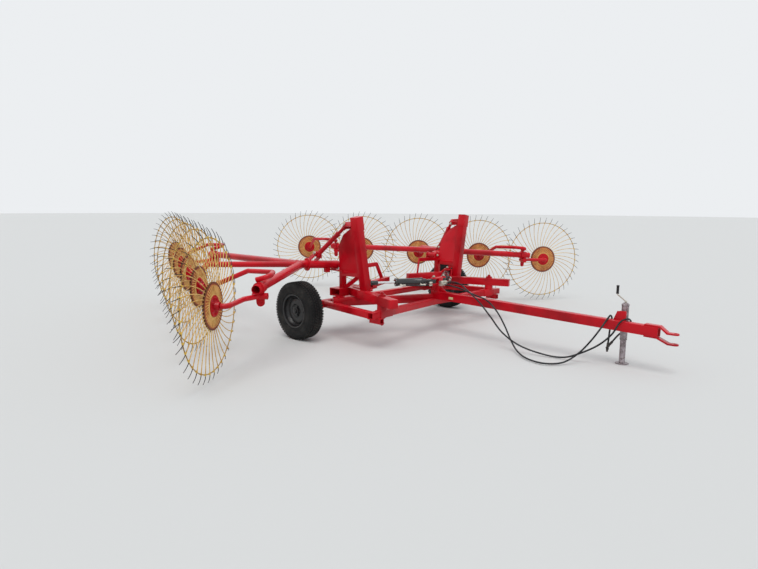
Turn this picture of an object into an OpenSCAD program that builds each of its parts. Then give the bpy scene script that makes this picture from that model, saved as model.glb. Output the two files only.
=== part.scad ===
// Rotary hay rake, carted V type, ten tined wheels.
// X runs forward, Y to the machine's left and Z up. The origin is the middle of the hitch pin's bore.
// Places in this file are written from the ground under the middle of the axle, for the left side,
// as [forward, outward, height], and are moved to the origin and mirrored where each piece is drawn.

/* [Frame] */
// Distance from the hitch pin back to the axle
hitch_forward = 3710; // [3600:10:3900]
// Height of the hitch pin's middle above the ground
hitch_height = 350; // [320:5:380]
// Outer side of the square frame tubes
tube = 75; // [70:5:80]
// Wall of the frame tubes
tube_wall = 6; // [4:0.5:8]
// Height of the frame tubes' middle
frame_height = 385; // [380:1:400]
// Half width of the axle tube
axle_half = 1165; // [1160:5:1180]
// Half width of the front beam
front_half = 1320; // [1290:10:1350]
// Sweep of the front beam, forward at each end
front_sweep = 107; // [80:1:120]
// Outer side of the tongue tube
tongue_side = 95; // [85:5:100]

/* [Hitch] */
// Bore of the hitch pin
hitch_bore = 32; // [25:1:38]
// Distance between the middles of the two hitch straps
strap_pitch = 100; // [90:2:110]
// Width of a hitch strap
strap_width = 70; // [60:5:80]
// Thickness of a hitch strap
strap_thick = 16; // [12:1:20]

/* [Carriages] */
// Side of the carriage's square tube
rail_side = 95; // [85:5:100]
// Turn of the carriage's tube away from straight ahead, in degrees
toe = 20; // [16:1:24]
// Length of the carriage's tube behind its pivot
rail_behind = 880; // [860:10:900]
// Length of the carriage's tube in front of its pivot
rail_ahead = 282; // [240:2:320]
// Width of the carriage's foot
foot_width = 180; // [160:5:200]
// Diameter of the pivot pin
pivot_pin = 50; // [40:2:56]
// Room round a pin in its bore
pin_gap = 0.4; // [0.3:0.1:0.6]
// Gap between faces that slide
seat_gap = 0.3; // [0.2:0.1:0.5]

/* [Towers] */
// Side of the tower's post
post_side = 95; // [85:5:100]
// Height of the post's top above the ground
post_top = 1450; // [1400:10:1500]
// Outward lean of the tower, in degrees
lean = 10.3; // [9:0.1:11]
// Thickness of the tower's side plate
plate_thick = 12; // [8:1:16]
// Side of the tower's rear leg
leg_side = 62; // [50:2:66]

/* [Booms] */
// Diameter of the main arm
arm_d = 95; // [85:1:100]
// Diameter of the boom's two branches
branch_d = 90; // [80:1:95]
// Diameter of the middle tube
middle_d = 70; // [60:1:76]
// Diameter of the wheel arms
wheel_arm_d = 50; // [42:1:56]
// Wall of the round tubes
pipe_wall = 5; // [4:0.5:6]
// Diameter of the lift pin
lift_pin = 30; // [25:1:34]

/* [Ground wheels] */
// Diameter of a tyre
tyre_d = 690; // [660:5:700]
// Width of a tyre
tyre_width = 195; // [175:5:205]
// Diameter of a rim at the tyre's seat
rim_d = 385; // [370:1:400]
// Half of the track
track_half = 1490; // [1470:5:1510]
// Diameter of the stub axle's spindle
spindle_d = 44; // [38:1:50]

/* [Rake wheels] */
// Number of tines on a wheel
tines = 40; // [30:1:44]
// Diameter of the tine wire
wire_d = 7; // [6:0.5:8]
// Radius of a tine's curve
tine_bend = 900; // [800:10:1200]
// Sweep of a tine's curve, in degrees
tine_sweep = 39.2; // [30:0.1:42]
// Tilt of the tines towards the back, in degrees
tine_tilt = 8; // [5:0.5:10]
// Radius of the hoop
hoop_r = 600; // [580:5:620]
// Diameter of the hoop's wire
hoop_d = 10; // [8:0.5:12]
// Radius of the clamp discs
disc_r = 215; // [190:5:230]
// Radius of the red hub flange
hub_r = 95; // [80:1:105]
// Diameter of the rake wheels' spindles
rake_pin = 30; // [26:1:34]

/* [Cylinders and struts] */
// Outer diameter of a cylinder
barrel_d = 90; // [80:1:95]
// Diameter of a cylinder's rod
rod_d = 30; // [26:1:34]
// Diameter of the pins at a cylinder's ends
cylinder_pin = 25; // [22:1:28]
// Outer diameter of a lift strut's tube
strut_d = 56; // [50:1:60]
// Diameter of a lift strut's rod
strut_rod_d = 40; // [34:1:44]
// Side of the square lock arm on a carriage
lock_side = 75; // [60:5:80]

/* [Jack and hoses] */
// Outer diameter of the jack's housing
jack_d = 70; // [64:1:74]
// Diameter of the jack's inner leg
jack_leg_d = 58; // [50:1:60]
// Outer diameter of a hose
hose_d = 18; // [16:1:20]

/* [Hidden] */
$fn = 64;
red = [0.78, 0.08, 0.14];
straw = [0.82, 0.68, 0.34];
tan = [0.80, 0.45, 0.16];
black = [0.06, 0.06, 0.06];
grey = [0.62, 0.63, 0.62];
chrome = [0.85, 0.86, 0.88];

frame_top = frame_height + tube / 2;
frame_low = frame_height - tube / 2;
wheel_height = tyre_d / 2;
rail_low = 485;
rail_top = rail_low + rail_side;
rail_mid = rail_low + rail_side / 2;

// Places on the left side, [forward, outward, height]
front_mid = [890, 0, frame_height];
front_end = [890 + front_sweep, front_half, frame_height];
pivot = [890 + front_sweep * 1110 / front_half, 1110, frame_height];
side_rear = [0, 1110, frame_height];
side_front = [890 + front_sweep * 1272 / front_half, 1272, frame_height];
tongue_rear = [850, 0, frame_top + tongue_side / 2 - 2];
tongue_front = [3560, 0, 400];
diagonal_front = [880, 0, 425];
diagonal_rear = [200, 1130, 425];
rail_rear = [pivot[0] - rail_behind * cos(toe), pivot[1] - rail_behind * sin(toe), rail_mid];
rail_front = [pivot[0] + rail_ahead * cos(toe), pivot[1] + rail_ahead * sin(toe), rail_mid];
rail_dir = [cos(toe), sin(toe), 0];
foot_mid = 155;
foot_in = 640;
foot_out = 1060;
post_foot = [550, 925, rail_top];
lift_axis = [100, 955, 860];
elbow = [0, 1450, 890];
clamp_1 = [710, 2550, 800];
clamp_2 = [-2270, 1230, 850];
strut_high = [360, 1060, 1345];
strut_low = [40, 1230, 990];
base_pin = [930, 100, 650];
rod_pin = [470, 820, 650];
jack_at = [3200, 95];

// Rake wheels from the front outer one to the rear inner one: [forward, outward, height]
RAKE = [[780, 3100, 700], [-200, 2670, 730], [-1190, 2240, 750], [-2180, 1810, 770], [-3160, 1370, 780]];
// Turn of the rake wheels' axis from straight ahead towards the middle
rake_turn = 36.5;
rake_arm = 130;
rake_axis = [cos(rake_turn), -sin(rake_turn), 0];

// Free hoses: points from the fittings by the mast to the coupler's end, [forward, left, height]
HOSE_A = [[1045, 40, 632], [1130, 58, 640], [1250, 35, 622], [1420, -60, 570], [1640, -150, 470],
    [1830, -215, 340], [2010, -250, 190], [2230, -250, 80], [2500, -215, 24], [2700, -180, 24],
    [2860, -160, 90], [3040, -150, 205], [3160, -130, 330], [3215, -80, 452], [3245, -20, 481],
    [3262, 50, 474], [3258, 115, 425], [3205, 160, 350], [3130, 160, 280], [3075, 145, 200]];
HOSE_B = [[1045, -20, 606], [1130, 0, 600], [1250, 25, 575], [1380, 10, 545], [1520, -50, 530],
    [1720, -120, 500], [1870, -150, 400], [1985, -160, 250], [2090, -190, 100], [2250, -330, 34],
    [2450, -480, 20], [2660, -520, 20], [2790, -380, 28], [2880, -230, 110], [2970, -160, 240],
    [3050, -120, 380], [3085, -62, 466], [3088, 10, 496], [3080, 76, 450], [3062, 88, 330], [3050, 96, 190]];

// Vector helpers
function unit(v) = v / norm(v);
function mix(a, b, t) = a + t * (b - a);
function flat(v, n) = unit(v - (v * n) * n);

// Moves places written from the axle's ground point to the hitch pin
module placed() { translate([-hitch_forward, 0, -hitch_height]) children(); }
// Draws a piece on the left (1) or the right (-1)
module on(hand) { placed() if (hand > 0) children(); else mirror([0, 1, 0]) children(); }
module both() { children(); mirror([0, 1, 0]) children(); }
// Local X along x and local Z along z, at the point o
module framed(o, x, z) {
    y = cross(z, x);
    multmatrix([[x[0], y[0], z[0], o[0]], [x[1], y[1], z[1], o[1]], [x[2], y[2], z[2], o[2]], [0, 0, 0, 1]])
        children();
}
// Local X from a towards b, with local Z as upright as it can be
module toward(a, b) {
    v = b - a;
    translate(a) rotate([0, -asin(v[2] / norm(v)), atan2(v[1], v[0])]) children();
}
module beam(a, b, w, h, wall = 0, past = 0) {
    long = norm(b - a);
    toward(a, b) difference() {
        translate([-past, -w / 2, -h / 2]) cube([long + 2 * past, w, h]);
        if (wall > 0)
            translate([-past - 1, -w / 2 + wall, -h / 2 + wall])
                cube([long + 2 * past + 2, w - 2 * wall, h - 2 * wall]);
    }
}
module bar(a, b, d) { toward(a, b) rotate([0, 90, 0]) cylinder(d = d, h = norm(b - a)); }
// Round tube bent through the points p, with the bend radius b at each inner point
bend_lap = 3;
bend_swell = 0.3;
module bent(p, d, b) {
    n = len(p) - 1;
    u = [for (i = [0:n - 1]) unit(p[i + 1] - p[i])];
    turn = [for (i = [0:n]) i == 0 || i == n ? 0 : acos(u[i - 1] * u[i])];
    cut = [for (i = [0:n]) i == 0 || i == n ? 0 : b * tan(turn[i] / 2) - bend_lap];
    for (i = [0:n - 1]) bar(p[i] + cut[i] * u[i], p[i + 1] - cut[i + 1] * u[i], d);
    for (i = [1:n - 1])
        framed(p[i] - (cut[i] + bend_lap) * u[i - 1], u[i - 1], unit(cross(u[i - 1], u[i])))
            translate([0, b, 0]) rotate([0, 0, -90]) rotate_extrude(angle = turn[i]) translate([b, 0])
                circle(d = d + 2 * bend_swell, $fn = 32);
}

// Frame
// The front beam's plan is one mitred strip, so that both halves are one piece; past lengthens its ends
module front_strip(w, past = 0) {
    u = unit(front_end - front_mid);
    end = front_end + past * u;
    q = [[end[0], end[1]], [front_mid[0], 0], [end[0], -end[1]]];
    translate([0, 0, frame_height - w / 2]) linear_extrude(w)
        polygon(concat(strip_side(q, w, 1), reversed(strip_side(q, w, -1))));
}
module front_outline() { front_strip(tube); }
module pivot_at(z) { translate([pivot[0], pivot[1], z]) children(); }
module front_beam() {
    color(red) placed() {
        difference() {
            union() {
                front_outline();
                intersection() {
                    front_strip(tube + 12);
                    both() translate([0, 955, 0]) cube([2000, 225, 2000]);
                }
            }
            front_strip(tube - 2 * tube_wall, 5);
        }
        both() {
            pivot_at(frame_low - 14) cylinder(d = pivot_pin, h = rail_top + 22 - frame_low + 14);
            pivot_at(frame_low - 14) cylinder(d = pivot_pin + 34, h = 14);
            pivot_at(frame_top) cylinder(d = pivot_pin + 60, h = rail_low - frame_top - seat_gap);
            pivot_at(rail_top + 10 + seat_gap) cylinder(d = pivot_pin + 34, h = 12);
            beam([900, 1200, frame_low - 30], [1065, 1200, frame_low - 30], 60, 60, 5);
        }
    }
}
module rail_solid() { beam(side_rear, side_front, tube, tube, 0); }
module side_rails() {
    color(red) placed() both() difference() {
        beam(side_rear, side_front, tube, tube, tube_wall);
        front_outline();
        beam([0, 0, frame_height], [0, axle_half, frame_height], tube, tube);
    }
}
module axle_beam() {
    color(red) placed() beam([0, -axle_half, frame_height], [0, axle_half, frame_height], tube, tube, tube_wall);
}
module stub_axles() {
    color(red) placed() both() {
        translate([-tube / 2 - 60, 960, wheel_height - 30]) cube([60, 380, 60]);
        translate([-tube / 2 - 60, 1340, wheel_height - 45]) cube([60 + tube / 2 + 45, 20, 90]);
        translate([0, 1360, wheel_height]) rotate([-90, 0, 0]) cylinder(d = spindle_d, h = 130);
        translate([0, 1360, wheel_height]) rotate([-90, 0, 0]) cylinder(d = spindle_d + 26, h = 14);
    }
}
module diagonal_solid() { beam(diagonal_front, diagonal_rear, 75, 100); }
module diagonals() {
    color(red) placed() difference() {
        both() diagonal_solid();
        front_outline();
        both() rail_solid();
        translate([-tube / 2, -axle_half, frame_low]) cube([tube, 2 * axle_half, tube]);
        tongue_outline();
        translate([600, -tongue_side / 2, 300]) cube([600, tongue_side, 300]);
    }
    // pads that the carriages' feet slide on
    color(red) placed() both() translate([170, 1000, 475]) cube([100, 110, rail_low - 475 - seat_gap]);
}
module tongue_outline() { beam(tongue_rear, tongue_front, tongue_side, tongue_side); }
module tongue() {
    color(red) placed() difference() {
        union() {
            beam(tongue_rear, tongue_front, tongue_side, tongue_side, tube_wall);
            jack_gusset();
        }
        front_outline();
    }
}
function tongue_mid(x) = mix(tongue_rear, tongue_front, (x - tongue_rear[0]) / (tongue_front[0] - tongue_rear[0]));
module jack_gusset() {
    top = tongue_mid(jack_at[0])[2] + tongue_side / 2;
    translate([jack_at[0] - 92, 34, top - 4]) rotate([90, 0, 0])
        linear_extrude(10, center = true) polygon([[0, 0], [62, 0], [62, 95], [38, 95]]);
    translate([jack_at[0] - 32, 29, top - 4]) cube([64, 18, 99]);
}
// A flat strap along the points p in the machine's middle plane, across the machine
function strip_side(p, t, side) = let(n = len(p) - 1,
    u = [for (i = [0:n - 1]) let(v = unit(p[i + 1] - p[i])) [-v[1], v[0]]])
    [for (i = [0:n]) p[i] + side * t / 2 * (i == 0 ? u[0] : i == n ? u[n - 1] : (u[i - 1] + u[i]) / (1 + u[i - 1] * u[i]))];
function reversed(v) = [for (i = [len(v) - 1:-1:0]) v[i]];
module strap(p, w, t) {
    q = [for (a = p) [a[0], a[2]]];
    rotate([90, 0, 0]) linear_extrude(w, center = true)
        polygon(concat(strip_side(q, t, 1), reversed(strip_side(q, t, -1))));
}
module hitch_straps() {
    top = tongue_mid(3440)[2] + tongue_side / 2 + strap_thick / 2;
    low = tongue_mid(3440)[2] - tongue_side / 2 - strap_thick / 2;
    drop = tongue_mid(3540)[2] - tongue_mid(3440)[2];
    up = hitch_height + strap_pitch / 2;
    down = hitch_height - strap_pitch / 2;
    tip = hitch_forward - 5;
    color(red) placed() difference() {
        union() {
            strap([[3430, 0, top + 1], [3570, 0, top + drop], [3640, 0, up], [tip, 0, up]], strap_width, strap_thick);
            strap([[3430, 0, low + 1], [3550, 0, low + drop], [3650, 0, down], [tip, 0, down]], strap_width, strap_thick);
            for (z = [up, down]) translate([tip, 0, z])
                cylinder(d = strap_width - 2, h = strap_thick, center = true);
        }
        translate([hitch_forward, 0, 0]) cylinder(d = hitch_bore, h = 700);
        tongue_outline();
    }
}
module cylinder_mast() {
    foot = tongue_mid(930)[2];
    color(red) placed() {
        difference() {
            union() {
                translate([890, -40, foot]) cube([80, 80, base_pin[2] + 40 - foot]);
                translate([930, 0, foot + tongue_side / 2 - 6]) rotate([90, 0, 0]) linear_extrude(12, center = true)
                    polygon([[-120, 0], [150, 0], [40, 62], [-40, 130]]);
            }
            tongue_outline();
        }
        for (z = [base_pin[2] - 40, base_pin[2] + 28]) translate([930, 0, z]) {
            translate([-35, -base_pin[1], 0]) cube([70, 2 * base_pin[1], 12]);
            both() translate([0, base_pin[1], 0]) cylinder(d = 70, h = 12);
        }
        both() translate([930, base_pin[1], base_pin[2] - 52]) cylinder(d = cylinder_pin, h = 104);
    }
}

// Jack
module jack_housing() {
    color(grey) placed() translate([jack_at[0], jack_at[1], 0]) {
        difference() {
            translate([0, 0, 250]) cylinder(d = jack_d, h = 350);
            translate([0, 0, 240]) cylinder(d = jack_leg_d + 2 * pin_gap, h = 340);
        }
        translate([0, 0, 600]) cylinder(d = jack_d + 6, h = 16);
        difference() {
            translate([-50, tongue_side / 2 + seat_gap - jack_at[1], 370]) cube([100, 20, 110]);
            cylinder(d = jack_d - 6, h = 500);
        }
        translate([0, 0, 616]) cylinder(d1 = jack_d, d2 = 40, h = 14);
    }
}
module jack_crank() {
    color(grey) placed() translate([jack_at[0], jack_at[1], 0]) {
        translate([0, 0, 630]) cylinder(d = 18, h = 22);
        bar([0, 0, 645], [-65, -60, 715], 14);
        translate([-65, -60, 705]) cylinder(d = 14, h = 20);
    }
    color(black) placed() translate([jack_at[0] - 65, jack_at[1] - 60, 722]) cylinder(d = 30, h = 85);
}
module jack_leg() {
    color(grey) placed() translate([jack_at[0], jack_at[1], 0]) {
        translate([0, 0, 6]) cylinder(d = jack_leg_d, h = 330);
        cylinder(d = 130, h = 8);
    }
}

// Free hoses, swept as round tubes with their frames carried along
function spline(p, i, t) =
    let(a = p[max(i - 1, 0)], b = p[i], c = p[i + 1], d = p[min(i + 2, len(p) - 1)])
    0.5 * (2 * b + (c - a) * t + (2 * a - 5 * b + 4 * c - d) * t * t + (3 * b - a - 3 * c + d) * t * t * t);
function route(p, n) =
    [for (k = [0:n]) let(u = k * (len(p) - 1) / n, i = min(floor(u), len(p) - 2)) spline(p, i, u - i)];
function carried(d, s, k = 0, out = []) =
    k == len(d) ? out : let(n = flat(s, d[k])) carried(d, n, k + 1, concat(out, [n]));
module hose(p, d, n = 39, sides = 8) {
    c = route(p, n);
    dir = [for (k = [0:n]) k == 0 ? [1, 0, 0] : unit(c[min(k + 1, n)] - c[k - 1])];
    s = carried(dir, [0, 1, 0]);
    points = [for (k = [0:n]) for (j = [0:sides - 1])
        c[k] + d / 2 * (cos(360 * j / sides) * s[k] + sin(360 * j / sides) * cross(dir[k], s[k]))];
    walls = [for (k = [0:n - 1]) for (j = [0:sides - 1])
        [k * sides + j, k * sides + (j + 1) % sides, (k + 1) * sides + (j + 1) % sides, (k + 1) * sides + j]];
    polyhedron(points = points, faces = concat([[for (j = [sides - 1:-1:0]) j]], walls,
        [[for (j = [0:sides - 1]) n * sides + j]]), convexity = 6);
}
module hose_a() { color(black) placed() hose(HOSE_A, hose_d); }
module hose_b() { color(black) placed() hose(HOSE_B, hose_d); }
module coupler(p) {
    a = p[len(p) - 1];
    u = unit(a - p[len(p) - 2]);
    bar(a + seat_gap * u, a + 40 * u, 26);
    bar(a + 38 * u, a + 95 * u, 22);
    bar(a + 60 * u, a + 72 * u, 30);
}
module coupler_a() { color(grey) placed() coupler(HOSE_A); }
module coupler_b() { color(grey) placed() coupler(HOSE_B); }
module line_fittings() {
    color(grey) placed() {
        translate([970 + seat_gap, -45, 590]) cube([40, 110, 62]);
        for (p = [HOSE_A[0], HOSE_B[0]]) {
            translate([1010, p[1], p[2]]) rotate([0, 90, 0]) cylinder(d = 20, h = 14);
            translate([1018, p[1], p[2]]) rotate([0, 90, 0]) cylinder(d = 28, h = p[0] - 1018 - seat_gap, $fn = 6);
        }
    }
}

// Carriages that turn on the front beam
// Plate that ties the foot to the rail, with the cylinder's lug on it
module carriage_plate() {
    translate([0, 0, rail_top - 3]) linear_extrude(17)
        polygon([[foot_mid + foot_width / 2 + 8, 760], [foot_mid + foot_width / 2 + 8, 850], [560, 945], [640, 900],
            [520, 770], [490, 660], [385, 660]]);
}
// Square arm that reaches in from the carriage's plate, closed at its inner end
lock_high = rail_top + 3 + lock_side / 2;
lock_out = [436, 730, lock_high];
lock_in = [250, 212, lock_high];
module lock_arm() {
    u = unit(lock_in - lock_out);
    difference() {
        beam(lock_out, lock_in, lock_side, lock_side);
        beam(lock_out - 10 * u, lock_in - 5 * u, lock_side - 10, lock_side - 10);
    }
}
module carriage(hand) {
    foot = [foot_mid - foot_width / 2, foot_in, rail_low];
    eye_half = 25 + seat_gap;
    lug_foot = rail_top + 6;
    color(red) on(hand) {
        difference() {
            union() {
                difference() {
                    beam(rail_rear, rail_front, rail_side, rail_side);
                    beam(rail_rear - 10 * rail_dir, rail_front - 8 * rail_dir, rail_side - 2 * tube_wall - 4,
                        rail_side - 2 * tube_wall - 4);
                    translate(foot - [0, 0, 1]) cube([foot_width, foot_out - foot_in, rail_side + 2]);
                }
                pivot_at(rail_low) cylinder(d = pivot_pin + 39, h = rail_side + 10);
                difference() {
                    translate(foot) cube([foot_width, foot_out - foot_in, rail_side]);
                    translate(foot + [10, 10, 10]) cube([foot_width - 20, foot_out - foot_in, rail_side - 20]);
                }
                carriage_plate();
                lock_arm();
                translate([rod_pin[0], rod_pin[1], lug_foot]) cylinder(d = 90, h = rod_pin[2] - eye_half - lug_foot);
                translate([rod_pin[0] + 6, rod_pin[1] + 40, lug_foot]) rotate(-30)
                    cube([60, 14, rod_pin[2] + eye_half + 16 - lug_foot]);
                translate([rod_pin[0], rod_pin[1], rod_pin[2] + eye_half]) cylinder(d = 96, h = 16);
            }
            pivot_at(0) cylinder(d = pivot_pin + 2 * pin_gap, h = 900);
        }
        translate([rod_pin[0], rod_pin[1], lug_foot]) cylinder(d = cylinder_pin, h = rod_pin[2] + 60 - lug_foot);
    }
}

// Towers
module tower(hand) {
    tall = (post_top - rail_top) / cos(lean);
    ears = [lift_axis[0] - 70 - 12 - seat_gap, lift_axis[0] + 70 + seat_gap];
    color(red) on(hand) {
        difference() {
            union() {
                translate(post_foot) rotate([-lean, 0, 0]) {
                    translate([-post_side / 2, -post_side / 2, -30]) cube([post_side, post_side, tall + 30]);
                    translate([-post_side / 2 - 6, -post_side / 2 - 6, tall - 160])
                        cube([post_side + 12, post_side + 12, 160]);
                    translate([0, 20, 0]) rotate([90, 0, 0]) linear_extrude(plate_thick, center = true)
                        polygon([[-post_side / 2 + 2, 190], [-post_side / 2 + 2, 780], [-235, 670], [-345, 520],
                            [-379, 225], [-360, 200]]);
                }
                translate([foot_mid + 5, 925, rail_top]) cube([leg_side, leg_side, 786 - rail_top]);
                beam([200, 975, 765], [520, 962, 765], 50, 60);
                beam([225, 960, rail_top], [480, 955, 750], 14, 50);
            }
            translate([0, 0, rail_top - 500]) cube([1200, 1200, 500]);
            carriage_plate();
        }
        translate([17, 900, 786]) cube([220, 112, 12]);
        for (x = ears) translate([x, 0, 0]) {
            translate([0, lift_axis[1], lift_axis[2]]) rotate([0, 90, 0]) cylinder(d = 90, h = 12);
            translate([0, lift_axis[1] - 45, 798]) cube([12, 90, lift_axis[2] - 798]);
        }
        translate(lift_axis - [92, 0, 0]) rotate([0, 90, 0]) cylinder(d = lift_pin, h = 184);
        strut_ears();
        // bent flat brace from the tower to the lock arm
        difference() {
            union() {
                beam([215, 940, 812], [266, 430, 838], 12, 52);
                beam([265, 440, 850], [300, 352, lock_high], 12, 46);
            }
            translate([0, 0, lock_high + lock_side / 2 + seat_gap - 200]) cube([1000, 1000, 200]);
        }
    }
}

// Lift struts: the pin at the tower and the pin on the boom move in one plane
lift_max = 13;
// Room beside and round the strut's lower eye, because the boom's ears lean as it lifts
ear_swing = 12;
function lifted(p, a) = let(d = p - lift_axis)
    lift_axis + [d[0], d[1] * cos(a) - d[2] * sin(a), d[1] * sin(a) + d[2] * cos(a)];
strut_axis = unit(cross(strut_low - strut_high, lifted(strut_low, lift_max) - strut_high));
strut_dir = unit(strut_low - strut_high);
module strut_ears() {
    for (s = [-1, 1]) framed(strut_high, flat([1, 0, 0], strut_axis), strut_axis) translate([0, 0, s * (19 + seat_gap + 6)]) {
        cylinder(d = 62, h = 12, center = true);
        translate([0, -31, -6]) cube([150, 62, 12]);
    }
    framed(strut_high, strut_dir, strut_axis) cylinder(d = cylinder_pin, h = 74, center = true);
}
module strut_rod(hand) {
    color(red) on(hand) framed(strut_high, strut_dir, strut_axis) difference() {
        union() {
            cylinder(d = 56, h = 38, center = true);
            translate([0, -20, -19]) cube([56, 40, 38]);
            translate([44, 0, 0]) rotate([0, 90, 0]) cylinder(d = strut_rod_d, h = 286);
        }
        cylinder(d = cylinder_pin + 2 * pin_gap, h = 100, center = true);
    }
}
module strut_tube(hand) {
    far = norm(strut_low - strut_high);
    color(red) on(hand) framed(strut_high, strut_dir, strut_axis) difference() {
        union() {
            translate([far, 0, 0]) cylinder(d = 60, h = 38, center = true);
            translate([far - 70, -24, -19]) cube([70, 48, 38]);
            translate([140, 0, 0]) rotate([0, 90, 0]) cylinder(d = strut_d, h = far - 140 - 48);
            translate([132, 0, 0]) rotate([0, 90, 0]) cylinder(d = strut_d + 10, h = 24);
        }
        translate([far, 0, 0]) cylinder(d = cylinder_pin + ear_swing, h = 100, center = true);
        translate([120, 0, 0]) rotate([0, 90, 0]) cylinder(d = strut_rod_d + 2 * pin_gap, h = far - 120 - 75);
    }
}

// Booms
module boom(hand) {
    past_1 = mix(elbow, clamp_1, 1.08);
    past_2 = mix(elbow, clamp_2, 1.04);
    middle = [-1000, 2090, 860];
    color(red) on(hand) {
        difference() {
            union() {
                translate(lift_axis - [70, 0, 0]) rotate([0, 90, 0]) cylinder(d = 70, h = 140);
                bar(lift_axis, elbow, arm_d);
            }
            translate(lift_axis - [100, 0, 0]) rotate([0, 90, 0]) cylinder(d = lift_pin + 2 * pin_gap, h = 200);
        }
        difference() {
            union() {
                bar(elbow, past_1, branch_d);
                bar(elbow, past_2, branch_d);
                translate(elbow) sphere(d = branch_d + 4);
            }
            bar(mix(elbow, clamp_1, 0.08), past_1 + unit(clamp_1 - elbow), branch_d - 2 * pipe_wall);
            bar(mix(elbow, clamp_2, 0.05), past_2 + unit(clamp_2 - elbow), branch_d - 2 * pipe_wall);
        }
        // web at the elbow
        translate([0, 0, elbow[2] - 6]) linear_extrude(12)
            polygon([[elbow[0] + 150, elbow[1] + 232], [elbow[0] - 300, elbow[1] - 29], [elbow[0] + 20, elbow[1] - 220], [elbow[0] + 60, elbow[1]]]);
        // collars on the main arm
        for (t = [0.83]) bar(mix(lift_axis, elbow, t), mix(lift_axis, elbow, t + 0.03), arm_d + 60);
        // lug under the arm
        framed(mix(lift_axis, elbow, 0.3), unit(elbow - lift_axis), flat([0, 0, 1], unit(elbow - lift_axis)))
            translate([-30, -25, -95]) cube([60, 50, 60]);
        // ears for the lift strut
        for (s = [-1, 1]) framed(strut_low, -strut_dir, strut_axis) translate([0, 0, s * (19 + ear_swing + 6)])
            strut_foot();
        framed(strut_low, -strut_dir, strut_axis) cylinder(d = cylinder_pin, h = 74 + 2 * ear_swing, center = true);
        bent(concat([mix(elbow, middle, 0.03), middle], arm_end(2)), middle_d, 60);
        rake_spindle(2);
    }
}
module strut_foot() {
    cylinder(d = 62, h = 12, center = true);
    translate([-110, -31, -6]) cube([110, 62, 12]);
}
// Spindle of a rake wheel, from the arm's end into the hub
module rake_spindle(i) {
    bar(RAKE[i] - 20 * rake_axis, RAKE[i] + 84 * rake_axis, rake_pin);
    bar(RAKE[i] + 70 * rake_axis, RAKE[i] + 84 * rake_axis, wheel_arm_d - 1);
}
// Last points of an arm that ends on a rake wheel's spindle
function arm_end(i) = [RAKE[i] + rake_arm * rake_axis, RAKE[i] + 70 * rake_axis];
// Collar on a branch, with its tail plate, over the cross sleeve that the arms rock on
sleeve_drop = 82;
module clamp(at, dir) {
    u = unit(dir);
    difference() {
        union() {
            bar(at - 45 * u, at + 45 * u, branch_d + 26);
            framed(at, flat([0, 0, -1], u), u) {
                translate([30, -40, -10]) cube([115, 80, 20]);
                translate([145, 0, -10]) cylinder(d = 80, h = 20);
            }
        }
        bar(elbow, mix(elbow, at, 1.3), branch_d + 2 * seat_gap);
    }
    translate([0, 0, -sleeve_drop]) bar(at - 75 * rake_axis, at + 75 * rake_axis, 64);
}
// Two wheel arms on one clamp: the straight one carries wheel i, the gooseneck wheel i + 1
module wheel_arms(at, i) {
    clamp(at, at - elbow);
    bent(concat([at - [0, 0, sleeve_drop], at + [10, 190, -88]], arm_end(i)), wheel_arm_d, 55);
    bent(concat([at + [-30, 20, 74], at + [80, -60, 112], at + [-40, -190, 130], at + [-410, -150, 115]],
        arm_end(i + 1)), wheel_arm_d, 50);
    rake_spindle(i);
    rake_spindle(i + 1);
}
module front_arms(hand) { color(red) on(hand) wheel_arms(clamp_1, 0); }
module rear_arms(hand) { color(red) on(hand) wheel_arms(clamp_2, 3); }

// Cylinders that turn the carriages
gland_face = 502;
port_turn = 112;
module cylinder_barrel(hand) {
    u = unit(rod_pin - base_pin);
    color(black) on(hand) framed(base_pin, u, [0, 0, 1]) difference() {
        union() {
            cylinder(d = 60, h = 50, center = true);
            translate([0, -25, -25]) cube([130, 50, 50]);
            translate([110, 0, 0]) rotate([0, 90, 0]) cylinder(d = 72, h = 50);
            translate([150, 0, 0]) rotate([0, 90, 0]) cylinder(d = barrel_d, h = gland_face - 155);
            translate([gland_face - 34, 0, 0]) rotate([0, 90, 0]) cylinder(d = barrel_d + 10, h = 34);
            translate([152, 0, 0]) rotate([0, 90, 0]) cylinder(d = barrel_d + 10, h = 22);
            rotate([port_turn, 0, 0]) {
                translate([190, 0, 35]) cylinder(d = 26, h = 32);
                translate([gland_face - 55, 0, 35]) cylinder(d = 26, h = 32);
            }
        }
        cylinder(d = cylinder_pin + 2 * pin_gap, h = 100, center = true);
        translate([205, 0, 0]) rotate([0, 90, 0]) cylinder(d = rod_d + 2 * pin_gap, h = 400);
    }
}
module cylinder_rod(hand) {
    base = [base_pin[0], hand * base_pin[1], base_pin[2]];
    tip = [rod_pin[0], hand * rod_pin[1], rod_pin[2]];
    far = norm(tip - base);
    color(chrome) placed() framed(base, unit(tip - base), [0, 0, 1]) difference() {
        union() {
            translate([310, 0, 0]) rotate([0, 90, 0]) cylinder(d = rod_d, h = far - 310 - 26);
            translate([far - 132, 0, 0]) rotate([0, 90, 0]) cylinder(d = rod_d + 26, h = 78);
            translate([far - 60, -22, -23]) cube([40, 44, 46]);
            translate([far, 0, 0]) cylinder(d = 64, h = 50, center = true);
        }
        translate([far, 0, 0]) cylinder(d = cylinder_pin + 14, h = 100, center = true);
    }
}

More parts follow.
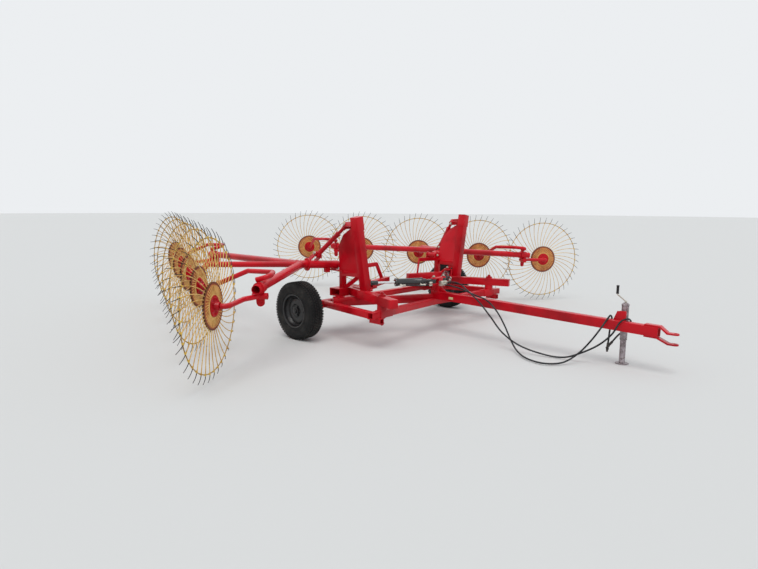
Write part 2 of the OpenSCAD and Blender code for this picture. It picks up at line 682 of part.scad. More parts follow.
// Ground wheels
module tyre(hand) {
    half = tyre_width / 2;
    r = tyre_d / 2;
    seat = rim_d / 2;
    color(black) on(hand) translate([0, track_half, wheel_height]) rotate([-90, 0, 0]) rotate_extrude($fn = 96)
        polygon([[seat, -half + 22], [seat + 45, -half], [r - 55, -half], [r, -half + 42],
            [r, half - 42], [r - 55, half], [seat + 45, half], [seat, half - 22]]);
}
module rim(hand) {
    half = tyre_width / 2 - 22;
    seat = rim_d / 2;
    color([0.12, 0.12, 0.12]) on(hand) translate([0, track_half, wheel_height]) rotate([-90, 0, 0]) {
        rotate_extrude($fn = 96) polygon([[seat - 0.3, -half - 1], [seat + 9, -half - 10.3], [seat + 9, -half - 15], [seat - 8, -half - 9],
            [seat - 12, -half + 20], [seat - 40, -15], [seat - 40, 15], [seat - 55, 30], [90, 45], [75, 30], [spindle_d / 2 + 0.4, 30],
            [spindle_d / 2 + 0.4, 38], [70, 38], [84, 53], [seat - 50, 40], [seat - 34, 22], [seat - 12, half - 20],
            [seat - 8, half + 9], [seat + 9, half + 15], [seat + 9, half + 10.3], [seat - 0.3, half + 1],
            [seat - 0.3, half - 12], [seat - 28, 20], [seat - 28, -20], [seat - 0.3, -half + 12]]);
        difference() {
            translate([0, 0, -70]) cylinder(d = 96, h = 132);
            translate([0, 0, -80]) cylinder(d = spindle_d + 2 * pin_gap, h = 110);
        }
        for (a = [0:72:288]) rotate(a) translate([57, 0, 36]) cylinder(d = 22, h = 16, $fn = 6);
    }
}

// Rake wheels: tined wheel and hub, with the front face along local Z
module rake_at(hand, i) { on(hand) translate(RAKE[i - 1]) rotate([0, 90, -rake_turn]) children(); }
wire_r = wire_d / 2;
tine_start = [100, 30];
function tine_point(t) = [tine_start[0] + tine_bend * sin(t), tine_start[1] - tine_bend * (1 - cos(t)) * cos(tine_tilt),
    -tine_bend * (1 - cos(t)) * sin(tine_tilt)];
function at_hoop(lo, hi, n = 18) = let(m = (lo + hi) / 2, q = tine_point(m))
    n == 0 ? m : norm([q[0], q[1]]) > hoop_r ? at_hoop(lo, m, n - 1) : at_hoop(m, hi, n - 1);
hoop_z = tine_point(at_hoop(0, tine_sweep))[2] - wire_r - hoop_d / 2 - seat_gap;
module tine() {
    translate([tine_start[0], tine_start[1], 0]) rotate([tine_tilt, 0, 0]) translate([0, -tine_bend, 0])
        rotate([0, 0, 90 - tine_sweep]) rotate_extrude(angle = tine_sweep, $fn = 48)
            translate([tine_bend, 0]) circle(r = wire_r, $fn = 16);
}
module rake(hand, i) {
    color(straw) rake_at(hand, i) {
        for (k = [0:tines - 1]) rotate(360 * k / tines) tine();
        translate([0, 0, hoop_z]) rotate_extrude($fn = 96) translate([hoop_r, 0]) circle(d = hoop_d, $fn = 16);
    }
    color(tan) rake_at(hand, i) {
        translate([0, 0, wire_r + seat_gap]) ring(disc_r, 40, 3);
        translate([0, 0, -wire_r - seat_gap - 6]) ring(disc_r, 40, 3);
    }
}
module ring(outer, inner, thick) {
    difference() {
        cylinder(r = outer, h = thick, $fn = 96);
        translate([0, 0, -1]) cylinder(r = inner, h = thick + 2);
    }
}
module hub(hand, i) {
    face = wire_r + seat_gap + 3;
    color(red) rake_at(hand, i) {
        difference() {
            union() {
                translate([0, 0, face]) cylinder(r = hub_r, h = 14);
                translate([0, 0, -face - 8]) cylinder(r = 39, h = face + 30 + 42);
                translate([0, 0, -face - 3 - 10]) cylinder(r = hub_r, h = 10);
            }
            translate([0, 0, -face - 40]) cylinder(d = rake_pin + 2 * pin_gap, h = 200);
        }
        for (a = [0:60:300]) rotate(a) translate([70, 0, face + 12]) cylinder(d = 20, h = 12, $fn = 6);
    }
}

front_beam();
side_rails();
axle_beam();
stub_axles();
diagonals();
tongue();
hitch_straps();
cylinder_mast();
jack_housing();
jack_crank();
jack_leg();
hose_a();
hose_b();
coupler_a();
coupler_b();
line_fittings();
carriage(1);  // carriage_left
carriage(-1);  // carriage_right
tower(1);  // tower_left
tower(-1);  // tower_right
boom(1);  // boom_left
boom(-1);  // boom_right
front_arms(1);  // front_arms_left
front_arms(-1);  // front_arms_right
rear_arms(1);  // rear_arms_left
rear_arms(-1);  // rear_arms_right
strut_rod(1);  // strut_rod_left
strut_rod(-1);  // strut_rod_right
strut_tube(1);  // strut_tube_left
strut_tube(-1);  // strut_tube_right
cylinder_barrel(1);  // cylinder_barrel_left
cylinder_barrel(-1);  // cylinder_barrel_right
cylinder_rod(1);  // cylinder_rod_left
cylinder_rod(-1);  // cylinder_rod_right
tyre(1);  // tyre_left
tyre(-1);  // tyre_right
rim(1);  // rim_left
rim(-1);  // rim_right
rake(1, 1);  // rake_left_1
rake(1, 2);  // rake_left_2
rake(1, 3);  // rake_left_3
rake(1, 4);  // rake_left_4
rake(1, 5);  // rake_left_5
rake(-1, 1);  // rake_right_1
rake(-1, 2);  // rake_right_2
rake(-1, 3);  // rake_right_3
rake(-1, 4);  // rake_right_4
rake(-1, 5);  // rake_right_5
hub(1, 1);  // hub_left_1
hub(1, 2);  // hub_left_2
hub(1, 3);  // hub_left_3
hub(1, 4);  // hub_left_4
hub(1, 5);  // hub_left_5
hub(-1, 1);  // hub_right_1
hub(-1, 2);  // hub_right_2
hub(-1, 3);  // hub_right_3
hub(-1, 4);  // hub_right_4
hub(-1, 5);  // hub_right_5
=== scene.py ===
"""Rotary hay rake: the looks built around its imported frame.

Places are written as on the drawing, in millimetres from the ground under the axle, and are moved
to the hitch pin in metres by spot(). The left side has hand 1 and the right side hand -1.
"""

import logging
import math
from dataclasses import dataclass, field
from enum import Enum
from typing import Iterable, Optional, Sequence, Union

import bpy
from mathutils import Matrix, Vector


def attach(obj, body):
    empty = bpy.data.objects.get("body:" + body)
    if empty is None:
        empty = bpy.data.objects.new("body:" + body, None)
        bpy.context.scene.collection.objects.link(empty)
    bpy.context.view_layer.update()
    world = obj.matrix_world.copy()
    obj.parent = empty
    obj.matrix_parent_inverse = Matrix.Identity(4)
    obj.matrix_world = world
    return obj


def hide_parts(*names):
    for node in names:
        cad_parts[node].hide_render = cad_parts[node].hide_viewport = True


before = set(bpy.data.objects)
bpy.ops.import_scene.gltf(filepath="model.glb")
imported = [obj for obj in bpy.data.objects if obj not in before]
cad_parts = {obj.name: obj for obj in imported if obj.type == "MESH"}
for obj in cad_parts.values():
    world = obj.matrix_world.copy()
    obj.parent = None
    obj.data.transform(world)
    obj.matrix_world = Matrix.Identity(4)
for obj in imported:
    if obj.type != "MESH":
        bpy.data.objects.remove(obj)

Piece = bpy.types.Object
Finish = bpy.types.Material
Section = Sequence[tuple[float, float]]

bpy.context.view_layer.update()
LOG = logging.getLogger("hay_rake")
MM = 0.001
SIDES = {1: "left", -1: "right"}
MIRROR = Matrix.Diagonal((1, -1, 1, 1))
ORIGIN = Vector((0, 0, 0))
UP = Vector((0, 0, 1))
HITCH_FORWARD = 3710
HITCH_HEIGHT = 350


def spot(forward: float, outward: float, height: float, hand: int = 1) -> Vector:
    """A place on the drawing, in the frame of the hitch pin.

    Args:
        forward: millimetres ahead of the axle.
        outward: millimetres from the middle plane.
        height: millimetres above the ground.
        hand: 1 for the left side, -1 for the right side.

    Returns:
        The place in metres.
    """
    return Vector(((forward - HITCH_FORWARD) * MM, hand * outward * MM, (height - HITCH_HEIGHT) * MM))


class Slot(Enum):
    """Names of material slots."""

    PAINT = "red_paint"
    TINES = "tines"
    TYRE = "tyre"
    RIM = "rim"
    HOSE = "hose"
    ZINC = "zinc"
    GALVANISED = "galvanised"
    CYLINDER = "cylinder"
    CHROME = "chrome"


# Shaders


class Signal:
    """A node's output that answers to arithmetic, adding Math nodes as it goes."""

    def __init__(self, tree: "Tree", socket: bpy.types.NodeSocket) -> None:
        """Keeps the tree that the socket is in."""
        self.tree = tree
        self.socket = socket

    def _math(self, operation: str, first: object, second: object) -> "Signal":
        """One Math node on two values."""
        return self.tree.make("ShaderNodeMath", {"operation": operation}, {0: first, 1: second})

    def __add__(self, other: object) -> "Signal":
        """Self plus other."""
        return self._math("ADD", self, other)

    __radd__ = __add__

    def __sub__(self, other: object) -> "Signal":
        """Self less other."""
        return self._math("SUBTRACT", self, other)

    def __rsub__(self, other: object) -> "Signal":
        """Other less self."""
        return self._math("SUBTRACT", other, self)

    def __mul__(self, other: object) -> "Signal":
        """Self times other."""
        return self._math("MULTIPLY", self, other)

    __rmul__ = __mul__

    def most(self, other: object) -> "Signal":
        """The greater of self and other."""
        return self._math("MAXIMUM", self, other)

    def above(self, limit: float, soft: float) -> "Signal":
        """A mask that rises from 0 to 1.

        Args:
            limit: the value where it starts to rise.
            soft: how far past the limit it reaches 1.

        Returns:
            The mask.
        """
        return self.tree.make(
            "ShaderNodeMapRange", {"interpolation_type": "SMOOTHSTEP"}, {0: self, 1: limit, 2: limit + soft}
        )


class Tree:
    """The node tree of a material or a world."""

    def __init__(self, owner: Union[bpy.types.Material, bpy.types.World], output: str) -> None:
        """Empties the owner's tree and adds its output node.

        Args:
            owner: the material or the world.
            output: the output node's type.
        """
        owner.use_nodes = True
        self.tree = owner.node_tree
        self.tree.nodes.clear()
        self.output = self.tree.nodes.new(output)

    def make(
        self,
        kind: str,
        settings: Optional[dict] = None,
        inputs: Optional[dict] = None,
        out: Union[int, str] = 0,
    ) -> Signal:
        """Adds one node.

        Args:
            kind: the node's type.
            settings: its own settings, which are set first.
            inputs: values or links of its sockets, by name or number.
            out: the output that is returned.

        Returns:
            The output as a signal.
        """
        node = self.tree.nodes.new(kind)
        for key, value in (settings or {}).items():
            setattr(node, key, value)
        for key, value in (inputs or {}).items():
            if isinstance(value, Signal):
                self.tree.links.new(value.socket, node.inputs[key])
            elif isinstance(value, tuple) and node.inputs[key].type == "RGBA":
                node.inputs[key].default_value = (*value, 1)
            else:
                node.inputs[key].default_value = value
        return Signal(self, node.outputs[out])

    def end(self, shader: Signal) -> None:
        """Ends the tree in this shader."""
        self.tree.links.new(shader.socket, self.output.inputs["Surface"])


class Sheet(Tree):
    """The node tree of one material, with the nodes that the finishes share."""

    def __init__(self, name: str) -> None:
        """Starts a new material."""
        self.material = bpy.data.materials.new(name)
        super().__init__(self.material, "ShaderNodeOutputMaterial")

    def place(self) -> Signal:
        """The piece's own coordinates in metres."""
        return self.make("ShaderNodeTexCoord", out="Object")

    def noise(self, scale: float, detail: float = 3, rough: float = 0.55) -> Signal:
        """Noise between about 0.3 and 0.7."""
        inputs = {"Vector": self.place(), "Scale": scale, "Detail": detail, "Roughness": rough}
        return self.make("ShaderNodeTexNoise", {}, inputs)

    def mix(self, factor: object, first: object, second: object) -> Signal:
        """A colour between two."""
        settings = {"data_type": "RGBA", "clamp_factor": True}
        return self.make("ShaderNodeMix", settings, {0: factor, 6: first, 7: second}, 2)

    def attribute(self, name: str) -> Signal:
        """A number kept on the mesh."""
        return self.make("ShaderNodeAttribute", {"attribute_name": name}, out="Fac")

    def upward(self) -> Signal:
        """How far the surface faces up, from -1 to 1."""
        normal = self.make("ShaderNodeNewGeometry", out="Normal")
        return self.make("ShaderNodeSeparateXYZ", {}, {0: normal}, "Z")

    def bump(self, height: Signal, distance: float) -> Signal:
        """A bumped normal; distance is the height of a full step in metres."""
        return self.make("ShaderNodeBump", {}, {"Strength": 1.0, "Distance": distance, "Height": height})

    def surface(self, **inputs: object) -> Finish:
        """Ends the tree in one Principled shader.

        Args:
            inputs: its sockets, where an underscore in a name stands for a space.

        Returns:
            The material.
        """
        sockets = {name.replace("_", " "): value for name, value in inputs.items()}
        self.end(self.make("ShaderNodeBsdfPrincipled", {}, sockets))
        return self.material


def tint(*screen: float) -> tuple[float, ...]:
    """A screen colour from 0 to 255 as the linear colour that renders as it."""
    return tuple(((c / 255 + 0.055) / 1.055) ** 2.4 if c > 10 else c / 255 / 12.92 for c in screen)


@dataclass(frozen=True)
class Paint:
    """Sprayed gloss paint on welded steel, its upward faces painted paler as a highlight of the sky, with
    scuffs and a little rust.
    """

    name: str = "red_gloss_paint"
    colour: tuple = tint(194, 4, 26)
    # the next colour is a painted highlight, the paler red that upward faces take
    painted_top_highlight: tuple = tint(206, 24, 46)
    deep: tuple = tint(160, 2, 18)
    rust: tuple = tint(96, 44, 26)
    dust: tuple = tint(176, 132, 104)
    worn: float = 0.0
    ripple: float = 0.0

    def build(self) -> Finish:
        """Makes the material."""
        s = Sheet(self.name)
        broad = s.noise(2.3, 4)
        fine = s.noise(38, 5, 0.62)
        grit = s.noise(170, 3, 0.6)
        top = s.upward().above(0.25, 0.7)
        base = s.mix(broad.above(0.42, 0.22), self.colour, self.deep)
        # upward faces are painted paler here, a painted highlight of the bright sky
        base = s.mix(top * 0.5, base, self.painted_top_highlight)
        base = s.mix(top * fine.above(0.48, 0.2) * 0.14, base, self.dust)
        chips = (fine * 0.6 + grit * 0.4).above(0.63 - self.worn, 0.03)
        base = s.mix(chips, base, self.rust)
        relief = grit * 0.25 + fine * 0.5 - chips * 0.8
        if self.ripple:
            relief = relief + s.noise(260, 1, 0.3) * self.ripple
        return s.surface(
            Base_Color=base,
            Roughness=0.28 + fine * 0.16 + top * 0.08 + chips * 0.45,
            Specular_IOR_Level=0.2,
            Coat_Weight=top * 0.4 + 0.1 - chips * 0.1,
            Coat_Roughness=0.12,
            Normal=s.bump(relief, 0.0009 if self.ripple else 0.00035),
        )


@dataclass(frozen=True)
class TineSteel:
    """Yellowed spring wire that turns dark and rusty past the hoop, by the attribute reach."""

    name: str = "tine_wire"
    straw: tuple = tint(204, 154, 66)
    pale: tuple = tint(228, 190, 112)
    brown: tuple = tint(120, 76, 34)
    dark: tuple = tint(34, 26, 22)
    start: float = 0.88

    def build(self) -> Finish:
        """Makes the material."""
        s = Sheet(self.name)
        broad = s.noise(9, 3)
        fine = s.noise(90, 4, 0.6)
        base = s.mix(broad.above(0.4, 0.25), self.pale, self.straw)
        base = s.mix(fine.above(0.54, 0.1) * 0.8, base, self.brown)
        tip = (s.attribute("reach") + fine * 0.06).above(self.start, 0.05)
        base = s.mix(tip, base, self.dark)
        return s.surface(
            Base_Color=base,
            Roughness=0.42 + fine * 0.3,
            Metallic=0.25 - tip * 0.1,
            Normal=s.bump(fine, 0.0004),
        )


@dataclass(frozen=True)
class DiscSteel:
    """A rake wheel's disc: tan paint worn to rust, pale round the hub and dark at its edge."""

    name: str = "disc_steel"
    tan: tuple = tint(206, 122, 66)
    rust: tuple = tint(158, 66, 42)
    pale: tuple = tint(226, 178, 104)
    edge: tuple = tint(112, 56, 30)
    edge_reach: float = 0.275
    pale_reach: float = 0.165

    def build(self) -> Finish:
        """Makes the material."""
        s = Sheet(self.name)
        broad = s.noise(16, 4)
        fine = s.noise(120, 4, 0.65)
        base = s.mix((broad * 0.5 + fine * 0.5).above(0.42, 0.16), self.tan, self.rust)
        reach = s.attribute("reach") + fine * 0.012
        base = s.mix(reach.above(self.edge_reach, 0.03), base, self.edge)
        base = s.mix(1.0 - reach.above(self.pale_reach, 0.012), base, self.pale)
        return s.surface(
            Base_Color=base,
            Roughness=0.46 + fine * 0.3,
            Metallic=0.15,
            Coat_Weight=0.08,
            Normal=s.bump(fine + broad * 0.3, 0.0005),
        )


@dataclass(frozen=True)
class Plate:
    """Weathered painted, pressed or plated steel, told apart by its numbers."""

    name: str
    colour: tuple
    second: tuple
    stain: tuple
    metal: float = 0.0
    rough: float = 0.4
    spots: float = 0.6
    scale: float = 14.0
    coat: float = 0.0

    def build(self) -> Finish:
        """Makes the material."""
        s = Sheet(self.name)
        broad = s.noise(self.scale, 4)
        fine = s.noise(self.scale * 11, 4, 0.62)
        base = s.mix(broad.above(0.4, 0.24), self.colour, self.second)
        stain = (fine * 0.7 + broad * 0.3).above(self.spots, 0.05)
        base = s.mix(stain, base, self.stain)
        return s.surface(
            Base_Color=base,
            Metallic=self.metal - stain * (self.metal * 0.8),
            Roughness=self.rough + fine * 0.18 - 0.09 + stain * 0.3,
            Coat_Weight=self.coat,
            Coat_Roughness=0.12,
            Normal=s.bump(fine, 0.0003),
        )


@dataclass(frozen=True)
class Spangle:
    """Hot dip galvanising with its crystals and pale bloom."""

    name: str = "galvanised_steel"
    light: tuple = tint(176, 166, 170)
    dark: tuple = tint(116, 106, 108)
    bloom: tuple = tint(190, 178, 172)
    crystals: float = 55

    def build(self) -> Finish:
        """Makes the material."""
        s = Sheet(self.name)
        inputs = {"Vector": s.place(), "Scale": self.crystals, "Randomness": 1}
        cell = s.make("ShaderNodeTexVoronoi", {"feature": "F1"}, inputs, "Color")
        tone = s.make("ShaderNodeSeparateXYZ", {}, {0: cell}, "X")
        fine = s.noise(60, 5, 0.6)
        white = fine.above(0.56, 0.1)
        base = s.mix(white * 0.6, s.mix(tone, self.dark, self.light), self.bloom)
        return s.surface(
            Base_Color=base,
            Metallic=0.75 - white * 0.45,
            Roughness=0.36 + tone * 0.16 + white * 0.2,
            Normal=s.bump(fine + tone * 0.2, 0.0003),
        )


@dataclass(frozen=True)
class Rubber:
    """Black rubber or plastic, a little greyed and with pale dust in its hollows."""

    name: str = "tyre_rubber"
    colour: tuple = tint(18, 18, 19)
    worn: tuple = tint(34, 34, 34)
    dust: tuple = tint(92, 86, 76)
    rough: float = 0.66
    dusty: float = 0.26

    def build(self) -> Finish:
        """Makes the material."""
        s = Sheet(self.name)
        broad = s.noise(7, 4)
        fine = s.noise(120, 5, 0.65)
        base = s.mix(broad.above(0.4, 0.25), self.colour, self.worn)
        dust = (broad * 0.5 + fine * 0.5).above(0.52, 0.12)
        base = s.mix(dust * self.dusty, base, self.dust)
        return s.surface(
            Base_Color=base,
            Roughness=self.rough + fine * 0.2 + dust * 0.1,
            Specular_IOR_Level=0.3,
            Normal=s.bump(fine + broad * 0.4, 0.0007),
        )


@dataclass(frozen=True)
class Chromed:
    """Hard chrome on a rod, with faint smears of oil."""

    name: str = "hard_chrome"
    bright: tuple = tint(226, 228, 230)
    oily: tuple = tint(178, 172, 160)

    def build(self) -> Finish:
        """Makes the material."""
        s = Sheet(self.name)
        smear = s.noise(26, 4, 0.6)
        return s.surface(
            Base_Color=s.mix(smear.above(0.52, 0.1) * 0.5, self.bright, self.oily),
            Metallic=1.0,
            Roughness=0.07 + smear * 0.12,
            Normal=s.bump(smear, 0.0001),
        )


class Finishes:
    """Every finish, made once."""

    def __init__(self) -> None:
        """Builds the materials."""
        self.red = Paint().build()
        self.worn_red = Paint("red_paint_worn", worn=0.05).build()
        self.weld = Paint("painted_weld", tint(188, 14, 32), deep=tint(130, 6, 18), ripple=1.0).build()
        self.tine = TineSteel().build()
        wire = tint(150, 116, 58), tint(190, 156, 92), tint(84, 54, 30)
        self.hoop = TineSteel("hoop_wire", *wire, start=2.0).build()
        brass = tint(214, 176, 66), tint(190, 142, 48), tint(92, 58, 30)
        self.clip = Plate("clip_steel", *brass, rough=0.5).build()
        straw = tint(230, 190, 112), tint(206, 156, 80), tint(120, 74, 40)
        self.root = Plate("root_wire", *straw, rough=0.5).build()
        self.disc = DiscSteel().build()
        self.rubber = Rubber().build()
        black = tint(24, 25, 28), tint(44, 46, 50), tint(96, 90, 82)
        self.hose = Rubber("hose_rubber", *black, rough=0.4, dusty=0.25).build()
        black = tint(18, 18, 20), tint(28, 28, 30), tint(74, 56, 44)
        self.rim = Plate("rim_black", *black, rough=0.42, spots=0.64, coat=0.15).build()
        black = tint(15, 15, 17), tint(26, 26, 29), tint(70, 62, 54)
        self.black = Plate("cylinder_black", *black, rough=0.26, spots=0.68, coat=0.6).build()
        zinc = tint(214, 210, 198), tint(186, 182, 170), tint(128, 112, 86)
        self.zinc = Plate("zinc_plate", *zinc, metal=0.85, rough=0.34, scale=30).build()
        black = tint(16, 16, 17), tint(30, 30, 31), tint(72, 68, 62)
        self.grip = Rubber("grip_plastic", *black, rough=0.4, dusty=0.2).build()
        self.galvanised = Spangle().build()
        grey = tint(58, 56, 56), tint(84, 80, 76), tint(110, 98, 84)
        self.coupler = Plate("coupler_steel", *grey, metal=0.6, rough=0.4, scale=30).build()
        self.chrome = Chromed().build()
        cream = tint(206, 196, 150), tint(190, 178, 130), tint(120, 100, 66)
        self.label = Plate("blank_plate", *cream, rough=0.4, scale=40).build()


# Modelling


class Bench:
    """The tools of a modeller. Each leaves its piece selected and active, in object mode."""

    @staticmethod
    def clear() -> None:
        """Deselects everything."""
        bpy.ops.object.select_all(action="DESELECT")

    @staticmethod
    def pick(*pieces: Piece) -> Piece:
        """Selects these pieces alone, with the first one active.

        Args:
            pieces: what is selected.

        Returns:
            The first of them.
        """
        Bench.clear()
        for piece in pieces:
            piece.select_set(True)
        bpy.context.view_layer.objects.active = pieces[0]
        return pieces[0]

    @staticmethod
    def settle(piece: Piece) -> Piece:
        """Puts a piece's place, turn and size into its mesh.

        Args:
            piece: what is settled.

        Returns:
            The piece.
        """
        Bench.pick(piece)
        bpy.ops.object.transform_apply(location=True, rotation=True, scale=True)
        return piece

    @staticmethod
    def rod(start: Vector, end: Vector, radius: float, sides: int = 24, bevel: float = 0.0) -> Piece:
        """A round or many-sided bar between two places.

        Args:
            start: middle of the first end.
            end: middle of the other end.
            radius: radius in metres.
            sides: faces round it.
            bevel: width of the bevel at its ends.

        Returns:
            The bar.
        """
        Bench.clear()
        along = end - start
        bpy.ops.mesh.primitive_cone_add(
            vertices=sides,
            radius1=radius,
            radius2=radius,
            depth=along.length,
            location=(start + end) / 2,
            rotation=along.to_track_quat("Z", "Y").to_euler(),
        )
        return Bench.eased(Bench.settle(bpy.context.object), bevel)

    @staticmethod
    def block(place: Vector, size: Sequence[float], bevel: float, turn: Optional[Matrix] = None) -> Piece:
        """A box about a place.

        Args:
            place: its middle.
            size: its three sides in metres.
            bevel: width of its bevels.
            turn: rotation about its middle.

        Returns:
            The box.
        """
        Bench.clear()
        rotation = (turn or Matrix.Identity(4)).to_euler()
        bpy.ops.mesh.primitive_cube_add(size=1, location=place, rotation=rotation, scale=size)
        return Bench.eased(Bench.settle(bpy.context.object), bevel)

    @staticmethod
    def ring(place: Vector, axis: Vector, radius: float, wire: float, around: int, section: int) -> Piece:
        """A round ring of wire.

        Args:
            place: its middle.
            axis: the axis that it goes round.
            radius: from the axis to the wire's middle.
            wire: the wire's radius.
            around: faces round the axis.
            section: faces round the wire.

        Returns:
            The ring.
        """
        Bench.clear()
        bpy.ops.mesh.primitive_torus_add(
            location=place,
            rotation=axis.to_track_quat("Z", "Y").to_euler(),
            major_segments=around,
            minor_segments=section,
            major_radius=radius,
            minor_radius=wire,
        )
        return Bench.settle(bpy.context.object)

    @staticmethod
    def smoothed(piece: Piece, angle: float) -> Piece:
        """Shades the active piece smooth, apart from edges sharper than this many degrees."""
        bpy.ops.object.shade_smooth_by_angle(angle=math.radians(angle))
        return piece

    @staticmethod
    def eased(piece: Piece, width: float, angle: float = 35) -> Piece:
        """Bevels the sharp edges and smooths the rest.

        Args:
            piece: what is bevelled.
            width: width of the bevel, or 0 for none.
            angle: least angle in degrees between faces that gets a bevel.

        Returns:
            The piece.
        """
        Bench.pick(piece)
        if width > 0:
            bevel = piece.modifiers.new("bevel", "BEVEL")
            bevel.width = width
            bevel.segments = 2
            bevel.limit_method = "ANGLE"
            bevel.angle_limit = math.radians(angle)
            bpy.ops.object.modifier_apply(modifier=bevel.name)
        return Bench.smoothed(piece, 38)

    @staticmethod
    def cleaned(piece: Piece, least: float, flat: float = 0.0) -> Piece:
        """Merges doubles and turns the faces of the active piece outward.

        Args:
            piece: what is cleaned.
            least: distance in metres under which vertices are merged.
            flat: angle in degrees under which faces are joined, or 0 for none.

        Returns:
            The piece.
        """
        bpy.ops.object.mode_set(mode="EDIT")
        bpy.ops.mesh.select_all(action="SELECT")
        bpy.ops.mesh.remove_doubles(threshold=least)
        if flat > 0:
            bpy.ops.mesh.dissolve_limited(angle_limit=math.radians(flat))
        bpy.ops.mesh.normals_make_consistent(inside=False)
        bpy.ops.object.mode_set(mode="OBJECT")
        return piece

    @staticmethod
    def turned(section: Section, steps: int) -> Piece:
        """A turned piece about local Z.

        Args:
            section: closed outline as (radius, height) in metres.
            steps: steps round the axis.

        Returns:
            The piece at the origin.
        """
        Bench.clear()
        bpy.ops.mesh.primitive_circle_add(vertices=len(section), radius=0.01, fill_type="NOTHING")
        piece = bpy.context.object
        for vertex, (radius, height) in zip(piece.data.vertices, section):
            vertex.co = (radius, 0, height)
        bpy.ops.object.mode_set(mode="EDIT")
        bpy.ops.mesh.select_all(action="SELECT")
        bpy.ops.mesh.spin(steps=steps, angle=math.tau, center=(0, 0, 0), axis=(0, 0, 1))
        bpy.ops.object.mode_set(mode="OBJECT")
        return Bench.settle(Bench.cleaned(piece, 1e-6))

    @staticmethod
    def curve(path: Sequence[Vector], radius: float, sides: int, thin: Sequence[float] = ()) -> Piece:
        """A round curve along a line, closed at its ends.

        Args:
            path: the places that it runs through.
            radius: its radius in metres.
            sides: faces round it.
            thin: share of the radius at each place, where it tapers.

        Returns:
            The curve's object.
        """
        curve = bpy.data.curves.new("line", "CURVE")
        curve.dimensions = "3D"
        curve.bevel_depth = radius
        curve.bevel_resolution = max(0, sides // 4 - 1)
        curve.use_fill_caps = True
        line = curve.splines.new("POLY")
        line.points.add(len(path) - 1)
        for point, place in zip(line.points, path):
            point.co = (*place, 1)
        for point, share in zip(line.points, thin):
            point.radius = share
        piece = bpy.data.objects.new("line", curve)
        bpy.context.scene.collection.objects.link(piece)
        return piece

    @staticmethod
    def swept(path: Sequence[Vector], radius: float, sides: int = 8, thin: Sequence[float] = ()) -> Piece:
        """A round bar along a line, closed at its ends.

        Args:
            path: the places that it runs through.
            radius: its radius in metres.
            sides: faces round it.
            thin: share of the radius at each place, where it tapers.

        Returns:
            The bar.
        """
        Bench.pick(Bench.curve(path, radius, sides, thin))
        bpy.ops.object.convert(target="MESH")
        return Bench.smoothed(bpy.context.object, 50)

    @staticmethod
    def join(pieces: Sequence[Piece]) -> Piece:
        """Makes one piece of several.

        Args:
            pieces: what is joined, the one that stays first.

        Returns:
            The joined piece.
        """
        Bench.pick(*pieces)
        if len(pieces) > 1:
            bpy.ops.object.join()
        return bpy.context.object

    @staticmethod
    def stamp(master: Piece, places: Iterable[Matrix], keep: bool = False) -> Piece:
        """Copies a master to each place, each copy with its own mesh, and joins them.

        Args:
            master: the modelled piece.
            places: where its origin and axes go.
            keep: whether the master stays for later use.

        Returns:
            The joined copies.
        """
        copies = []
        for place in places:
            copy = bpy.data.objects.new(master.name, master.data.copy())
            bpy.context.scene.collection.objects.link(copy)
            copies.append(moved(copy, place))
        if not keep:
            bpy.data.objects.remove(master)
        return Bench.join(copies)

    @staticmethod
    def dressed(node: str, bevel: float) -> Piece:
        """A merged copy of a CAD node with eased edges.

        Args:
            node: the CAD node.
            bevel: width of the bevel, or 0 for none.

        Returns:
            The copy.
        """
        copy = bpy.data.objects.new(node + "_dressed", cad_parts[node].data.copy())
        bpy.context.scene.collection.objects.link(copy)
        Bench.pick(copy)
        bpy.ops.mesh.customdata_custom_splitnormals_clear()
        return Bench.eased(Bench.cleaned(copy, 2e-5, 0.6), bevel, 32)


def moved(piece: Piece, place: Matrix) -> Piece:
    """Moves a piece's mesh to these axes, its faces kept outward.

    Args:
        piece: the piece, modelled about the origin.
        place: where its origin and axes go.

    Returns:
        The piece.
    """
    piece.data.transform(place)
    if place.determinant() < 0:
        piece.data.flip_normals()
    return piece


def handed(left: Matrix, hand: int) -> Matrix:
    """A left side's axes, or their mirror image on the right."""
    return left if hand == 1 else MIRROR @ left


def basis(place: Vector, x: Vector, z: Vector) -> Matrix:
    """Axes at a place.

    Args:
        place: their origin.
        x: where X points, as near as it can.
        z: where Z points.

    Returns:
        The axes.
    """
    up = z.normalized()
    side = (x - x.dot(up) * up).normalized()
    out = Matrix((side, up.cross(side), up)).transposed().to_4x4()
    out.translation = place
    return out


def placed_piece(
    piece: Piece, name: str, finish: Finish, body: str, replaces: Sequence[str] = ()
) -> Piece:
    """Gives a finished piece its name, finish and body, and reports it.

    Args:
        piece: the piece, in place.
        name: its name.
        finish: its material.
        body: the CAD body that it rides on.
        replaces: CAD nodes that it stands for.

    Returns:
        The piece.
    """
    piece.name = name
    piece.data.name = name
    piece.data.materials.clear()
    piece.data.materials.append(finish)
    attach(piece, body)
    if replaces:
        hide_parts(*replaces)
    LOG.info("%s rides on %s", name, body)
    return piece


def dressed_node(
    node: str, bevel: float, finish: Finish, body: str, ending: str = "steel"
) -> Piece:
    """Puts a dressed copy in a CAD node's stead.

    Args:
        node: the CAD node.
        bevel: width of the bevel, or 0 for none.
        finish: its material.
        body: the CAD body that it rides on.
        ending: what its name adds to the node's.

    Returns:
        The copy.
    """
    return placed_piece(Bench.dressed(node, bevel), f"{node}_{ending}", finish, body, [node])


